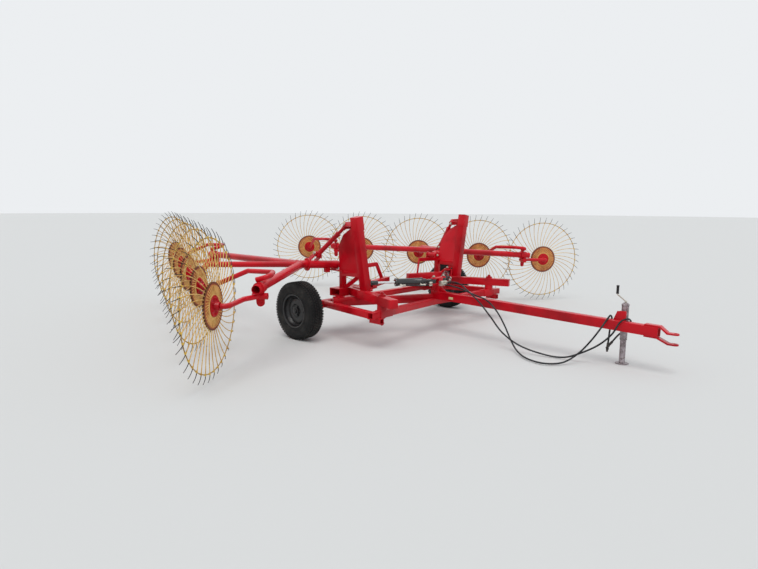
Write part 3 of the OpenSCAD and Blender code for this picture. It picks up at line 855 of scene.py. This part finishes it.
class Hardware:
    """Bolts and pin heads, modelled once and copied."""

    def __init__(self) -> None:
        """Models a bolt with a head of radius 1, which each use scales."""
        head = Bench.rod(UP * 0.22, UP * 0.92, 1.0, 6, 0.06)
        washer = Bench.rod(ORIGIN, UP * 0.22, 1.28, 20, 0.05)
        shank = Bench.rod(UP * 0.9, UP * 1.25, 0.52, 12, 0.06)
        self.master = Bench.join([head, washer, shank])
        self.master.name = "bolt"
        self.master.hide_render = True

    def bolts(self, places: Sequence[tuple[Vector, Vector]], radius: float) -> Piece:
        """Bolts that stand on these places along these axes, joined.

        Args:
            places: (seat, axis) of each bolt.
            radius: radius across the corners of the head.

        Returns:
            The joined bolts.
        """
        size = Matrix.Scale(radius, 4)
        turn = Vector((0.3, 0.2, 0.9))
        return Bench.stamp(self.master, [basis(seat, turn, axis) @ size for seat, axis in places], keep=True)

    def done(self) -> None:
        """Takes the master away."""
        bpy.data.objects.remove(self.master)


# Studio


@dataclass
class Studio:
    """Camera, soft light and floor."""

    width: int = 758
    sensor: float = 36
    focal_pixels: float = 570.0
    heading: float = 47.4
    pitch: float = 8.05
    roll: float = 0.34
    eye: tuple = (1.49, -5.75, 1.25)
    ground: float = -0.35

    def camera(self) -> None:
        """The camera that took the photograph's view."""
        heading, pitch, roll = (math.radians(a) for a in (self.heading, self.pitch, self.roll))
        level = Vector((-math.cos(heading), math.sin(heading), 0))
        ahead = level * math.cos(pitch) - Vector((0, 0, math.sin(pitch)))
        right = Vector((math.sin(heading), math.cos(heading), 0))
        up = right.cross(ahead)
        x = right * math.cos(roll) + up * math.sin(roll)
        y = up * math.cos(roll) - right * math.sin(roll)
        lens = bpy.data.cameras.new("photo_camera")
        lens.sensor_fit = "HORIZONTAL"
        lens.sensor_width = self.sensor
        lens.lens = self.sensor * self.focal_pixels / self.width
        lens.clip_end = 500
        camera = bpy.data.objects.new("photo_camera", lens)
        bpy.context.scene.collection.objects.link(camera)
        camera.matrix_world = Matrix((x, y, -ahead)).transposed().to_4x4()
        camera.location = self.eye
        bpy.context.scene.camera = camera
        bpy.context.scene.view_settings.view_transform = "Standard"

    def sky(self) -> None:
        """An overcast sky, and a plain pale one where the camera or a reflection looks."""
        world = bpy.data.worlds.new("overcast")
        bpy.context.scene.world = world
        tree = Tree(world, "ShaderNodeOutputWorld")
        kinds = ("Camera", "Transmission", "Glossy")
        seen, passed, mirrored = (tree.make("ShaderNodeLightPath", out=f"Is {kind} Ray") for kind in kinds)
        look = mirrored.most(seen.most(passed))
        soft = tree.make("ShaderNodeBackground", {}, {"Color": (0.93, 0.96, 1.0), "Strength": 0.78})
        pale = tree.make("ShaderNodeBackground", {}, {"Color": (0.84, 0.86, 0.88)})
        tree.end(tree.make("ShaderNodeMixShader", {}, {0: look, 1: soft, 2: pale}))

    def lamp(self) -> None:
        """One broad soft lamp from high in front."""
        sun = bpy.data.lights.new("soft_sun", "SUN")
        sun.energy = 1.25
        sun.angle = math.radians(38)
        sun.color = (1.0, 0.98, 0.95)
        lamp = bpy.data.objects.new("soft_sun", sun)
        bpy.context.scene.collection.objects.link(lamp)
        lamp.rotation_euler = Vector((0.25, -0.35, 1.0)).to_track_quat("Z", "Y").to_euler()

    def floor(self) -> None:
        """A pale floor that keeps the machine's shadow."""
        Bench.clear()
        place = (-2, 0, self.ground)
        bpy.ops.mesh.primitive_circle_add(vertices=96, radius=90, fill_type="NGON", location=place)
        floor = Bench.settle(bpy.context.object)
        floor.name = "floor"
        plain = Sheet("pale_floor").surface(
            Base_Color=tint(210, 211, 210), Roughness=0.9, Specular_IOR_Level=0.1
        )
        floor.data.materials.append(plain)


# Hoses


HOSE_A = (
    (1045, 40, 632), (1130, 58, 640), (1250, 35, 622), (1420, -60, 570), (1640, -150, 470),
    (1830, -215, 340), (2010, -250, 190), (2230, -250, 80), (2500, -215, 24), (2700, -180, 24),
    (2860, -160, 90), (3040, -150, 205), (3160, -130, 330), (3215, -80, 452), (3245, -20, 481),
    (3262, 50, 474), (3258, 115, 425), (3205, 160, 350), (3130, 160, 280), (3075, 145, 200),
)
HOSE_B = (
    (1045, -20, 606), (1130, 0, 600), (1250, 25, 575), (1380, 10, 545), (1520, -50, 530),
    (1720, -120, 500), (1870, -150, 400), (1985, -160, 250), (2090, -190, 100), (2250, -330, 34),
    (2450, -480, 20), (2660, -520, 20), (2790, -380, 28), (2880, -230, 110), (2970, -160, 240),
    (3050, -120, 380), (3085, -62, 466), (3088, 10, 496), (3080, 76, 450), (3062, 88, 330),
    (3050, 96, 190),
)


@dataclass
class Hoses:
    """The two free hoses with their couplers."""

    finishes: Finishes
    diameter: float = 0.018
    sides: int = 16
    per_span: int = 8
    coupler_bars: tuple = (
        (0.4, 38, 0.0128, 24, 0.0012),
        (36, 58, 0.0125, 6, 0.001),
        (57, 72, 0.0148, 24, 0.002),
        (71, 95, 0.0108, 24, 0.0015),
    )
    crimps: tuple = (8, 15, 22, 29)

    def line(self, points: Sequence[tuple]) -> list[Vector]:
        """The smooth line through a hose's points.

        Args:
            points: its points on the drawing.

        Returns:
            Places in metres, closely spaced.
        """
        p = [spot(*q) for q in points]
        out = []
        for i in range(len(p) - 1):
            a, b, c, d = p[max(i - 1, 0)], p[i], p[i + 1], p[min(i + 2, len(p) - 1)]
            square = 2 * a - 5 * b + 4 * c - d
            cube = 3 * b - a - 3 * c + d
            for k in range(self.per_span):
                t = k / self.per_span
                out.append(0.5 * (2 * b + (c - a) * t + square * t * t + cube * t**3))
        return out + [p[-1]]

    def coupler(self, points: Sequence[tuple], name: str) -> Piece:
        """A crimped ferrule and a quick coupler on a hose's end.

        Args:
            points: the hose's points on the drawing.
            name: the hose's letter.

        Returns:
            The coupler.
        """
        end = spot(*points[-1])
        along = (end - spot(*points[-2])).normalized()

        def at(distance: float) -> Vector:
            """A place this many millimetres past the hose's end."""
            return end + along * distance * MM

        parts = [Bench.rod(at(near), at(far), *sizes) for near, far, *sizes in self.coupler_bars]
        parts += [Bench.ring(at(k), along, 0.0128, 0.0009, 24, 6) for k in self.crimps]
        title = f"hose_coupler_{name}"
        node = f"coupler_{name}"
        return placed_piece(Bench.join(parts), title, self.finishes.coupler, "frame", [node])

    def free(self, points: Sequence[tuple], name: str) -> None:
        """One free hose with its coupler.

        Args:
            points: its points on the drawing.
            name: its letter.
        """
        line = self.line(points)
        piece = Bench.curve(line, self.diameter / 2, self.sides)
        title = f"hydraulic_hose_{name}"
        placed_piece(piece, title, self.finishes.hose, "frame", [f"hose_{name}"])
        coupler = self.coupler(points, name)
        length = sum((b - a).length for a, b in zip(line, line[1:]))

    def build(self) -> None:
        """Both hoses."""
        self.free(HOSE_A, "a")
        self.free(HOSE_B, "b")


# Frame and towers


@dataclass
class PaintedFrame:
    """Every welded and painted node, with eased edges."""

    finishes: Finishes
    fixed: tuple = (
        "front_beam", "side_rails", "axle_beam", "stub_axles",
        "diagonals", "tongue", "hitch_straps", "cylinder_mast",
    )
    fixed_bevel: float = 0.0035
    sided: tuple = (
        ("carriage", "carriage", 0.003),
        ("tower", "carriage", 0.003),
        ("strut_rod", "strut_rod", 0.003),
        ("strut_tube", "strut_tube", 0.003),
        ("boom", "boom", 0.0),
        ("front_arms", "boom", 0.0),
        ("rear_arms", "boom", 0.0),
    )

    def build(self) -> None:
        """Dresses the frame's nodes, then both sides' nodes."""
        red = self.finishes.red
        for node in self.fixed:
            dressed_node(node, self.fixed_bevel, red, "frame")
        for side in SIDES.values():
            for node, body, bevel in self.sided:
                dressed_node(f"{node}_{side}", bevel, red, f"{body}_{side}")


# Ground wheels


@dataclass
class GroundWheels:
    """Tyres with block tread and ringed sidewalls, their rims, caps and valves."""

    finishes: Finishes
    pitches: int = 64
    half_section: tuple = (
        (192.5, 75), (204, 87), (214, 92), (219, 95.5), (226, 95.5), (230, 92.5),
        (246, 94.5), (262, 96.5), (279, 96.5), (284, 97.5), (291, 97.5), (295, 95),
        (309, 91), (321, 84), (330, 76), (334, 70), (336, 60), (336, 0),
    )
    cap_section: tuple = (
        (0, 0.084), (0.016, 0.083), (0.027, 0.078), (0.031, 0.070), (0.032, 0.0615), (0, 0.0615),
    )
    left: Matrix = field(
        default_factory=lambda: Matrix.Translation(spot(0, 1490, 345))
        @ Matrix(((1, 0, 0, 0), (0, 0, 1, 0), (0, -1, 0, 0), (0, 0, 0, 1)))
    )

    def tread(self) -> Piece:
        """Three rows of blocks and two rows of shoulder blocks."""
        step = math.tau / self.pitches
        block = Bench.block(ORIGIN, (0.012, 0.0262, 0.0255), 0.0014)
        places = [
            Matrix.Rotation(step * (k + shift), 4, "Z")
            @ Matrix.Translation((0.3388, 0, height))
            @ Matrix.Rotation(math.radians(slant), 4, "X")
            for k in range(self.pitches)
            for height, shift, slant in ((0.0, 0.0, 14), (0.0305, 0.5, -14), (-0.0305, 0.5, -14))
        ]
        rows = Bench.stamp(block, places)
        block = Bench.block(ORIGIN, (0.016, 0.0215, 0.034), 0.0022)
        places = [
            Matrix.Rotation(step * (k + 0.25), 4, "Z")
            @ Matrix.Translation((0.3315, 0, way * 0.0655))
            @ Matrix.Rotation(math.radians(way * 17), 4, "Y")
            for k in range(self.pitches)
            for way in (1, -1)
        ]
        return Bench.join([rows, Bench.stamp(block, places)])

    def tyre(self) -> Piece:
        """The whole tyre about local Z."""
        out = [(r * MM, h * MM) for r, h in self.half_section]
        back = [(r, -h) for r, h in reversed(out[:-1])]
        carcass = Bench.smoothed(Bench.turned(out + back, 96), 28)
        return Bench.join([carcass, self.tread()])

    def build(self) -> None:
        """Both wheels."""
        f = self.finishes
        for hand, side in SIDES.items():
            place = handed(self.left, hand)
            body = f"ground_wheel_{side}"
            tyre = moved(self.tyre(), place)
            placed_piece(tyre, f"tyre_{side}_rubber", f.rubber, body, [f"tyre_{side}"])
            dressed_node(f"rim_{side}", 0.0012, f.rim, body)
            cap = Bench.eased(Bench.turned(self.cap_section, 32), 0)
            valve = Bench.rod(Vector((0.150, 0, 0.018)), Vector((0.147, 0, 0.062)), 0.0042, 12, 0.0008)
            stem = Bench.rod(Vector((0.147, 0, 0.060)), Vector((0.1465, 0, 0.072)), 0.0052, 12, 0.0008)
            small = moved(Bench.join([cap, valve, stem]), place)
            placed_piece(small, f"wheel_cap_{side}", f.rim, body)


# Rake wheels


RAKE = ((780, 3100, 700), (-200, 2670, 730), (-1190, 2240, 750), (-2180, 1810, 770), (-3160, 1370, 780))
TURN = math.radians(36.5)
RAKE_AXES = Matrix(
    (
        (0, math.sin(TURN), math.cos(TURN), 0),
        (0, math.cos(TURN), -math.sin(TURN), 0),
        (-1, 0, 0, 0),
        (0, 0, 0, 1),
    )
)


@dataclass
class RakeWheels:
    """Finger wheels: forty spring tines clamped between two discs and tied to a wire hoop."""

    finishes: Finishes
    tines: int = 40
    radius: float = 0.69
    bend: float = 0.900
    sweep: float = 39.2
    tilt: float = 8.0
    start: tuple = (0.1, 0.03)
    wire: float = 0.0035
    droop: float = 0.026
    hoop: float = 0.600
    hoop_wire: float = 0.005
    hoop_gap: float = 0.0003
    root_reach: float = 0.212
    face: tuple = (
        (0.040, 0.0038), (0.215, 0.0038), (0.215, 0.0060), (0.212, 0.0068), (0.200, 0.0068),
        (0.186, 0.0068), (0.150, 0.0068), (0.146, 0.0060), (0.138, 0.0060), (0.134, 0.0068),
        (0.122, 0.0068), (0.114, 0.0068), (0.040, 0.0068),
    )

    def tine_at(self, turn: float, droop: float = 0.0) -> Vector:
        """A place on a tine.

        Args:
            turn: degrees along its bend.
            droop: metres that it hangs lower there.

        Returns:
            The place, with the wheel's axis on Z.
        """
        angle, tilt = math.radians(turn), math.radians(self.tilt)
        x, y = self.start
        across = x + self.bend * math.sin(angle)
        fall = self.bend * (1 - math.cos(angle))
        return Vector((across, y - fall * math.cos(tilt), -fall * math.sin(tilt) - droop))

    def crossing(self) -> float:
        """Degrees along the bend where a tine crosses the hoop."""
        low, high = 0.0, self.sweep
        for _ in range(24):
            middle = (low + high) / 2
            if self.tine_at(middle).xy.length > self.hoop:
                high = middle
            else:
                low = middle
        return (low + high) / 2

    def measured(self, piece: Piece) -> Piece:
        """Keeps each point's share of the wheel's radius in the attribute reach.

        Args:
            piece: a piece about the wheel's axis.

        Returns:
            The piece.
        """
        reach = piece.data.attributes.new("reach", "FLOAT", "POINT")
        reach.data.foreach_set("value", [v.co.xy.length / self.radius for v in piece.data.vertices])
        return piece

    def around(self, piece: Piece) -> Piece:
        """A copy of the piece for each tine."""
        turns = [math.tau * k / self.tines for k in range(self.tines)]
        return Bench.stamp(piece, [Matrix.Rotation(turn, 4, "Z") for turn in turns])

    def wires(self) -> Piece:
        """The tines, thin and hooked past the hoop, with the attribute reach."""
        cross = self.crossing()
        past = self.sweep - cross
        turns = [cross * k / 7 for k in range(7)] + [cross + past * k / 5 for k in range(6)]
        late = [max(0.0, (t - cross) / past) for t in turns]
        path = [self.tine_at(t, self.droop * u * u) for t, u in zip(turns, late)]
        tine = Bench.swept(path, self.wire * 1.15, 8, [1 - 0.4 * u for u in late])
        return self.measured(self.around(tine))

    def ribs(self) -> Piece:
        """The roots of the tines, standing proud of both discs."""
        cross = self.crossing()
        lines = []
        for height in (0.0090, -0.0120):
            path = [self.tine_at(cross * k / 12) for k in range(5)]
            path = [Vector((q.x, q.y, height)) for q in path if q.xy.length < self.root_reach]
            lines.append(Bench.swept(path, 0.0044, 8))
        roots = self.around(Bench.join(lines))
        collars = [Bench.ring(UP * height, UP, 0.104, 0.0052, 64, 8) for height in (0.0080, -0.0110)]
        return Bench.join([roots, *collars])

    def clips(self) -> Piece:
        """A crimped clip where each tine crosses the hoop."""
        at = self.tine_at(self.crossing())
        along = (self.tine_at(self.crossing() + 1) - at).normalized()
        round_hoop = Vector((-at.y, at.x, 0)).normalized()
        low = Vector((at.x, at.y, at.z - 0.0088))
        clip = [
            Bench.rod(low - round_hoop * 0.012, low + round_hoop * 0.012, 0.0072, 12, 0.0012),
            Bench.rod(at - along * 0.013, at + along * 0.013, 0.0056, 10, 0.001),
            Bench.block((at + low) / 2, (0.011, 0.011, 0.016), 0.002),
        ]
        return self.around(Bench.join(clip))

    def hoops(self) -> Piece:
        """The wire hoop behind the tines."""
        height = self.tine_at(self.crossing()).z - self.wire - self.hoop_wire - self.hoop_gap
        return Bench.ring(UP * height, UP, self.hoop, self.hoop_wire, 96, 8)

    def discs(self) -> Piece:
        """Two pressed discs with a turned edge and a stiffening groove."""
        rear = [(r, -0.0030 - h) for r, h in reversed(self.face)]
        discs = Bench.join([Bench.turned(self.face, 96), Bench.turned(rear, 96)])
        return self.measured(Bench.smoothed(discs, 25))

    def build(self) -> None:
        """Ten wheels, each with its own meshes."""
        f = self.finishes
        masters = {
            "tines": (self.wires(), f.tine),
            "roots": (self.ribs(), f.root),
            "clips": (self.clips(), f.clip),
            "hoop": (self.hoops(), f.hoop),
            "discs": (self.discs(), f.disc),
        }
        for hand, side in SIDES.items():
            for i, place in enumerate(RAKE, 1):
                axes = handed(Matrix.Translation(spot(*place)) @ RAKE_AXES, hand)
                body = f"rake_{side}_{i}"
                for name, (master, finish) in masters.items():
                    piece = Bench.stamp(master, [axes], keep=True)
                    replaced = [body] if name == "tines" else []
                    placed_piece(piece, f"{body}_{name}", finish, body, replaced)
                dressed_node(f"hub_{side}_{i}", 0.0018, f.red, body)
                cap = Bench.rod(UP * 0.0785, UP * 0.088, 0.024, 24, 0.002)
                nut = Bench.rod(UP * 0.087, UP * 0.094, 0.012, 6, 0.001)
                cap = moved(Bench.join([cap, nut]), axes)
                placed_piece(cap, f"{body}_cap", f.worn_red, f"boom_{side}")
        for master, _ in masters.values():
            bpy.data.objects.remove(master)


# Cylinders and jack


@dataclass
class Cylinders:
    """The two steering cylinders, with their short lines."""

    finishes: Finishes
    far: float = 0.8544
    port: float = math.radians(112)
    ports: tuple = (0.190, 0.447)
    run: float = -0.034
    stand: float = 0.083
    lifts: tuple = (0.10, -0.28)
    hose_start: float = 0.055
    hose_radius: float = 0.0072
    bars: tuple = (
        (0, 0.0655, 0, 0.0735, 0.0150, 6, 0.001),
        (0, 0.0725, 0, 0.0860, 0.0095, 16, 0.001),
        (-0.3, 0.0830, 1, 0.0830, 0.0098, 16, 0.002),
        (0.9, 0.0830, 1.7, 0.0830, 0.0128, 6, 0.001),
    )
    wiper_section: tuple = (
        (0.0156, 0), (0.022, 0), (0.022, 0.0025), (0.019, 0.004), (0.0156, 0.004),
    )
    bush_section: tuple = (
        (0.0196, -0.0245), (0.0246, -0.0245), (0.0246, 0.0252), (0.0196, 0.0252),
    )

    def axes(self) -> Matrix:
        """The left cylinder's frame: X toward the rod's eye and Z up."""
        base, tip = spot(930, 100, 650), spot(470, 820, 650)
        return basis(base, tip - base, UP)

    def port_at(self, along: float, away: float, lift: float = 0.0) -> Vector:
        """A place beside the barrel, on the side that the ports face."""
        turn = self.port + lift
        return Vector((along, -math.sin(turn) * away, math.cos(turn) * away))

    def fittings(self) -> Piece:
        """Hexagons and elbows on both ports, and the lines' ends by the base."""
        parts = []
        for port in self.ports:
            for share, away, far_share, far_away, *sizes in self.bars:
                start = self.port_at(port + self.run * share, away)
                end = self.port_at(port + self.run * far_share, far_away)
                parts.append(Bench.rod(start, end, *sizes))
        for lift in self.lifts:
            start, end = (self.port_at(along, self.stand, lift) for along in (0.045, 0.085))
            parts.append(Bench.rod(start, end, 0.0125, 6, 0.001))
        return Bench.join(parts)

    def line(self, port: float, reach: float, sag: float, lift: float, steps: int) -> Piece:
        """A short hose along the barrel.

        Args:
            port: where its port is.
            reach: how far it runs toward the base.
            sag: how far its middle stands off.
            lift: turn about the barrel at its end, in radians.
            steps: straight steps that it is made of.

        Returns:
            The hose.
        """
        path = []
        for k in range(steps + 1):
            away = self.stand + sag * math.sin(math.pi * k / steps)
            path.append(self.port_at(port - self.hose_start - reach * k / steps, away, lift * k / steps))
        return Bench.swept(path, self.hose_radius, 12)

    def lines(self) -> Piece:
        """Two short hoses along the lower front of the barrel."""
        short, long = self.ports
        high, low = self.lifts
        return Bench.join([self.line(long, 0.328, 0.012, high, 12), self.line(short, 0.060, 0.006, low, 6)])

    def build(self) -> None:
        """Both cylinders."""
        f = self.finishes
        for hand, side in SIDES.items():
            axes = handed(self.axes(), hand)
            barrel, rod = f"cylinder_barrel_{side}", f"cylinder_rod_{side}"
            dressed_node(barrel, 0.0015, f.black, barrel)
            dressed_node(rod, 0.0015, f.black, rod, "clevis")
            sleeve = Bench.rod(Vector((0.311, 0, 0)), Vector((self.far - 0.1318, 0, 0)), 0.01525, 48)
            placed_piece(moved(sleeve, axes), f"{rod}_chrome", f.chrome, rod)
            gland = axes @ Matrix.Translation((0.502, 0, 0)) @ Matrix.Rotation(math.pi / 2, 4, "Y")
            wiper = moved(Bench.eased(Bench.turned(self.wiper_section, 40), 0), gland)
            placed_piece(wiper, f"{barrel}_wiper", f.hose, barrel)
            placed_piece(moved(self.fittings(), axes), f"{barrel}_fittings", f.zinc, barrel)
            placed_piece(moved(self.lines(), axes), f"{barrel}_lines", f.hose, barrel)
            eye = axes @ Matrix.Translation((self.far, 0, 0))
            bush = moved(Bench.eased(Bench.turned(self.bush_section, 32), 0), eye)
            placed_piece(bush, f"{rod}_bush", f.zinc, rod)


@dataclass
class Jack:
    """The parking jack with its crank."""

    finishes: Finishes
    x: float = 3200
    y: float = 95
    arm: tuple = (
        (0, 0, 634), (0, 0, 640), (-3, -3, 647), (-12, -11, 657),
        (-50, -46, 699), (-60, -55, 708), (-65, -60, 718), (-65, -60, 724),
    )
    grip_section: tuple = (
        (0.0078, 0), (0.0135, 0), (0.015, 0.003), (0.015, 0.008), (0.0128, 0.012), (0.0128, 0.070),
        (0.0148, 0.075), (0.015, 0.081), (0.012, 0.085), (0.0, 0.085), (0.0, 0.080), (0.0078, 0.078),
    )
    seams: tuple = (252, 372, 478)

    def at(self, dx: float, dy: float, height: float) -> Vector:
        """A place measured from the jack's axis."""
        return spot(self.x + dx, self.y + dy, height)

    def build(self) -> None:
        """Housing, leg, crank and grip."""
        f = self.finishes
        dressed_node("jack_housing", 0.0015, f.galvanised, "frame")
        dressed_node("jack_leg", 0.0015, f.galvanised, "jack_leg")
        crank = Bench.swept([self.at(*q) for q in self.arm], 0.0068, 16)
        hub = Bench.rod(self.at(0, 0, 630.5), self.at(0, 0, 652), 0.0105, 24, 0.0015)
        pin = Bench.rod(self.at(-14, 0, 643), self.at(14, 0, 643), 0.0028, 12, 0.0005)
        crank = Bench.join([crank, hub, pin])
        placed_piece(crank, "jack_crank_steel", f.zinc, "frame", ["jack_crank"])
        grip = Bench.eased(Bench.turned(self.grip_section, 32), 0)
        grip = moved(grip, Matrix.Translation(self.at(-65, -60, 722)))
        placed_piece(grip, "jack_grip", f.grip, "frame")
        seams = [Bench.ring(self.at(0, 0, height), UP, 0.0352, 0.0016, 40, 6) for height in self.seams]
        placed_piece(Bench.join(seams), "jack_seams", f.galvanised, "frame")


# Fasteners, welds and small parts


class StrutLine:
    """Where the lift struts' pins stand, worked out as on the drawing."""

    high = Vector((360, 1060, 1345))
    low = Vector((40, 1230, 990))
    hinge = Vector((100, 955, 860))

    @classmethod
    def axis(cls) -> Vector:
        """The pins' common axis on the left side."""
        turn = Matrix.Rotation(math.radians(13), 3, "X")
        lifted = cls.hinge + turn @ (cls.low - cls.hinge)
        return (cls.low - cls.high).cross(lifted - cls.high).normalized()

    @classmethod
    def pin_ends(cls, middle: Vector, half: float, hand: int) -> list[tuple[Vector, Vector]]:
        """Where the heads of a strut's pin stand, and the ways that they face.

        Args:
            middle: the pin's middle on the left side's drawing.
            half: millimetres from there to each head.
            hand: 1 for the left side, -1 for the right side.

        Returns:
            (seat, axis) of both heads.
        """
        axis = cls.axis()
        return [(spot(*(middle + sign * half * axis), hand), sign * facing(axis, hand)) for sign in (1, -1)]


def facing(way: Vector, hand: int) -> Vector:
    """A left side's direction, or its mirror image on the right."""
    return Vector((way.x, hand * way.y, way.z))


@dataclass
class Fasteners:
    """Bolts, nuts, pin heads and weld beads on the painted steel."""

    finishes: Finishes
    elbow: tuple = (0, 1450, 890)
    clamps: tuple = ((710, 2550, 800), (-2270, 1230, 850))
    clamp_holes: tuple = ((78, 27), (78, -27), (150, 0))
    clamp_face: float = 10.0
    clamp_weld: float = 45
    pivot_nut: float = 0.023
    pin_head: float = 0.0165
    clamp_bolt: float = 0.0135
    boom_bead: float = 0.048
    branch_bead: float = 0.0455

    def bead(self, path: Sequence[Vector]) -> Piece:
        """A weld bead with its ripples along a line of places."""
        close = [a.lerp(b, k / 6) for a, b in zip(path, path[1:]) for k in range(6)] + [path[-1]]
        return Bench.swept(close, 0.0035, 8, [1.0 + 0.16 * math.sin(2.3 * k) for k in range(len(close))])

    def hoop(self, middle: Vector, along: Vector, radius: float) -> Piece:
        """A bead round a tube.

        Args:
            middle: a place on the tube's axis.
            along: the way that the tube runs.
            radius: from the axis to the bead.

        Returns:
            The bead.
        """
        side = along.orthogonal().normalized()
        other = along.normalized().cross(side)
        turns = [math.tau * k / 20 for k in range(21)]
        return self.bead([middle + radius * (math.cos(t) * side + math.sin(t) * other) for t in turns])

    def square(self, middle: tuple, half: float, hand: int, other: Optional[float] = None) -> Piece:
        """A bead round the foot of an upright square piece.

        Args:
            middle: the middle of its foot on the drawing.
            half: half its length.
            hand: 1 for the left side, -1 for the right side.
            other: half its width, where it isn't square.

        Returns:
            The bead.
        """
        x, y, z = middle
        wide = other or half
        corners = [(-1, -1), (1, -1), (1, 1), (-1, 1), (-1, -1)]
        return self.bead([spot(x + a * half, y + b * wide, z, hand) for a, b in corners])

    def frame(self, hardware: Hardware) -> None:
        """Nuts on the pivot posts, the cylinders' pin heads and the mast's bead.

        Args:
            hardware: the bolts that are copied.
        """
        f = self.finishes
        nuts = [(spot(980, 1110, 602.2, hand), UP) for hand in SIDES]
        nuts += [(spot(980, 1110, 277.8, hand), -UP) for hand in SIDES]
        placed_piece(hardware.bolts(nuts, self.pivot_nut), "pivot_nuts", f.worn_red, "frame")
        pins = [(spot(930, 100, 702, hand), UP) for hand in SIDES]
        placed_piece(hardware.bolts(pins, self.pin_head), "base_pin_heads", f.zinc, "frame")
        placed_piece(self.square((930, 0, 515), 41, 1), "mast_weld", f.weld, "frame")

    def carriage(self, hardware: Hardware, hand: int, side: str) -> None:
        """Pin heads and beads on a carriage and its tower.

        Args:
            hardware: the bolts that are copied.
            hand: 1 for the left side, -1 for the right side.
            side: the side's name.
        """
        f = self.finishes
        body = f"carriage_{side}"
        way = Vector((1, 0, 0))
        pins = [(spot(192, 955, 860, hand), way), (spot(8, 955, 860, hand), -way)]
        pins.append((spot(470, 820, 710, hand), UP))
        pins += StrutLine.pin_ends(StrutLine.high, 37, hand)
        placed_piece(hardware.bolts(pins, self.pin_head), f"{body}_pin_heads", f.zinc, body)
        beads = [
            self.square((550, 927, 581), 48, hand),
            self.square((191, 956, 581), 32, hand),
            self.square((127, 956, 799), 109, hand, 55),
        ]
        placed_piece(Bench.join(beads), f"{body}_welds", f.weld, body)

    def clamp(self, place: tuple, hand: int) -> tuple[list[tuple[Vector, Vector]], list[Piece]]:
        """The bolts and the beads of one clamp.

        Args:
            place: its middle on the left side's drawing.
            hand: 1 for the left side, -1 for the right side.

        Returns:
            (seat, axis) of its bolts, and its two beads.
        """
        at = Vector(place)
        u = (at - Vector(self.elbow)).normalized()
        drop = Vector((0, 0, -1))
        down = (drop - drop.dot(u) * u).normalized()
        across = u.cross(down)
        heads, beads = [], []
        for sign in (1, -1):
            face = sign * facing(u, hand)
            for dx, dy in self.clamp_holes:
                q = at + down * dx + across * dy + sign * self.clamp_face * u
                heads.append((spot(*q, hand), face))
            middle = spot(*(at + sign * self.clamp_weld * u), hand)
            beads.append(self.hoop(middle, face, self.branch_bead))
        return heads, beads

    def boom(self, hardware: Hardware, hand: int, side: str) -> None:
        """Clamp bolts, strut pins and beads on a boom.

        Args:
            hardware: the bolts that are copied.
            hand: 1 for the left side, -1 for the right side.
            side: the side's name.
        """
        f = self.finishes
        body = f"boom_{side}"
        elbow, start = Vector(self.elbow), StrutLine.hinge
        heads, beads = [], []
        for clamp in self.clamps:
            more_heads, more_beads = self.clamp(clamp, hand)
            heads += more_heads
            beads += more_beads
        pins = StrutLine.pin_ends(StrutLine.low, 49, hand)
        bolts = hardware.bolts(heads, self.clamp_bolt)
        placed_piece(bolts, f"{body}_clamp_bolts", f.worn_red, body)
        placed_piece(hardware.bolts(pins, self.pin_head), f"{body}_strut_pin", f.zinc, body)
        along = spot(*elbow, hand) - spot(*start, hand)
        for share in (0.829, 0.861):
            beads.append(self.hoop(spot(*start.lerp(elbow, share), hand), along, self.boom_bead))
        for clamp, share in zip(self.clamps, (0.055, 0.032)):
            along = spot(*clamp, hand) - spot(*elbow, hand)
            middle = spot(*elbow.lerp(Vector(clamp), share), hand)
            beads.append(self.hoop(middle, along, self.branch_bead))
        placed_piece(Bench.join(beads), f"{body}_welds", f.weld, body)

    def small(self) -> None:
        """The hoses' manifold and the blank plate."""
        f = self.finishes
        dressed_node("line_fittings", 0.0012, f.zinc, "frame")
        slope = Matrix.Rotation(math.radians(1.5), 4, "Y")
        plate = Bench.block(spot(1160, -48.1, 452), (0.064, 0.0012, 0.030), 0.0004, slope)
        placed_piece(plate, "blank_plate", f.label, "frame")

    def build(self) -> None:
        """All of them."""
        hardware = Hardware()
        self.frame(hardware)
        for hand, side in SIDES.items():
            self.carriage(hardware, hand, side)
            self.boom(hardware, hand, side)
        hardware.done()
        self.small()


def main() -> None:
    """Builds the scene in order and reports each piece."""
    logging.basicConfig(level=logging.INFO, format="%(message)s")
    finishes = Finishes()
    studio = Studio()
    studio.camera()
    Hoses(finishes).build()
    studio.sky()
    studio.lamp()
    studio.floor()
    PaintedFrame(finishes).build()
    GroundWheels(finishes).build()
    RakeWheels(finishes).build()
    Cylinders(finishes).build()
    Jack(finishes).build()
    Fasteners(finishes).build()


if __name__ == "__main__":
    main()
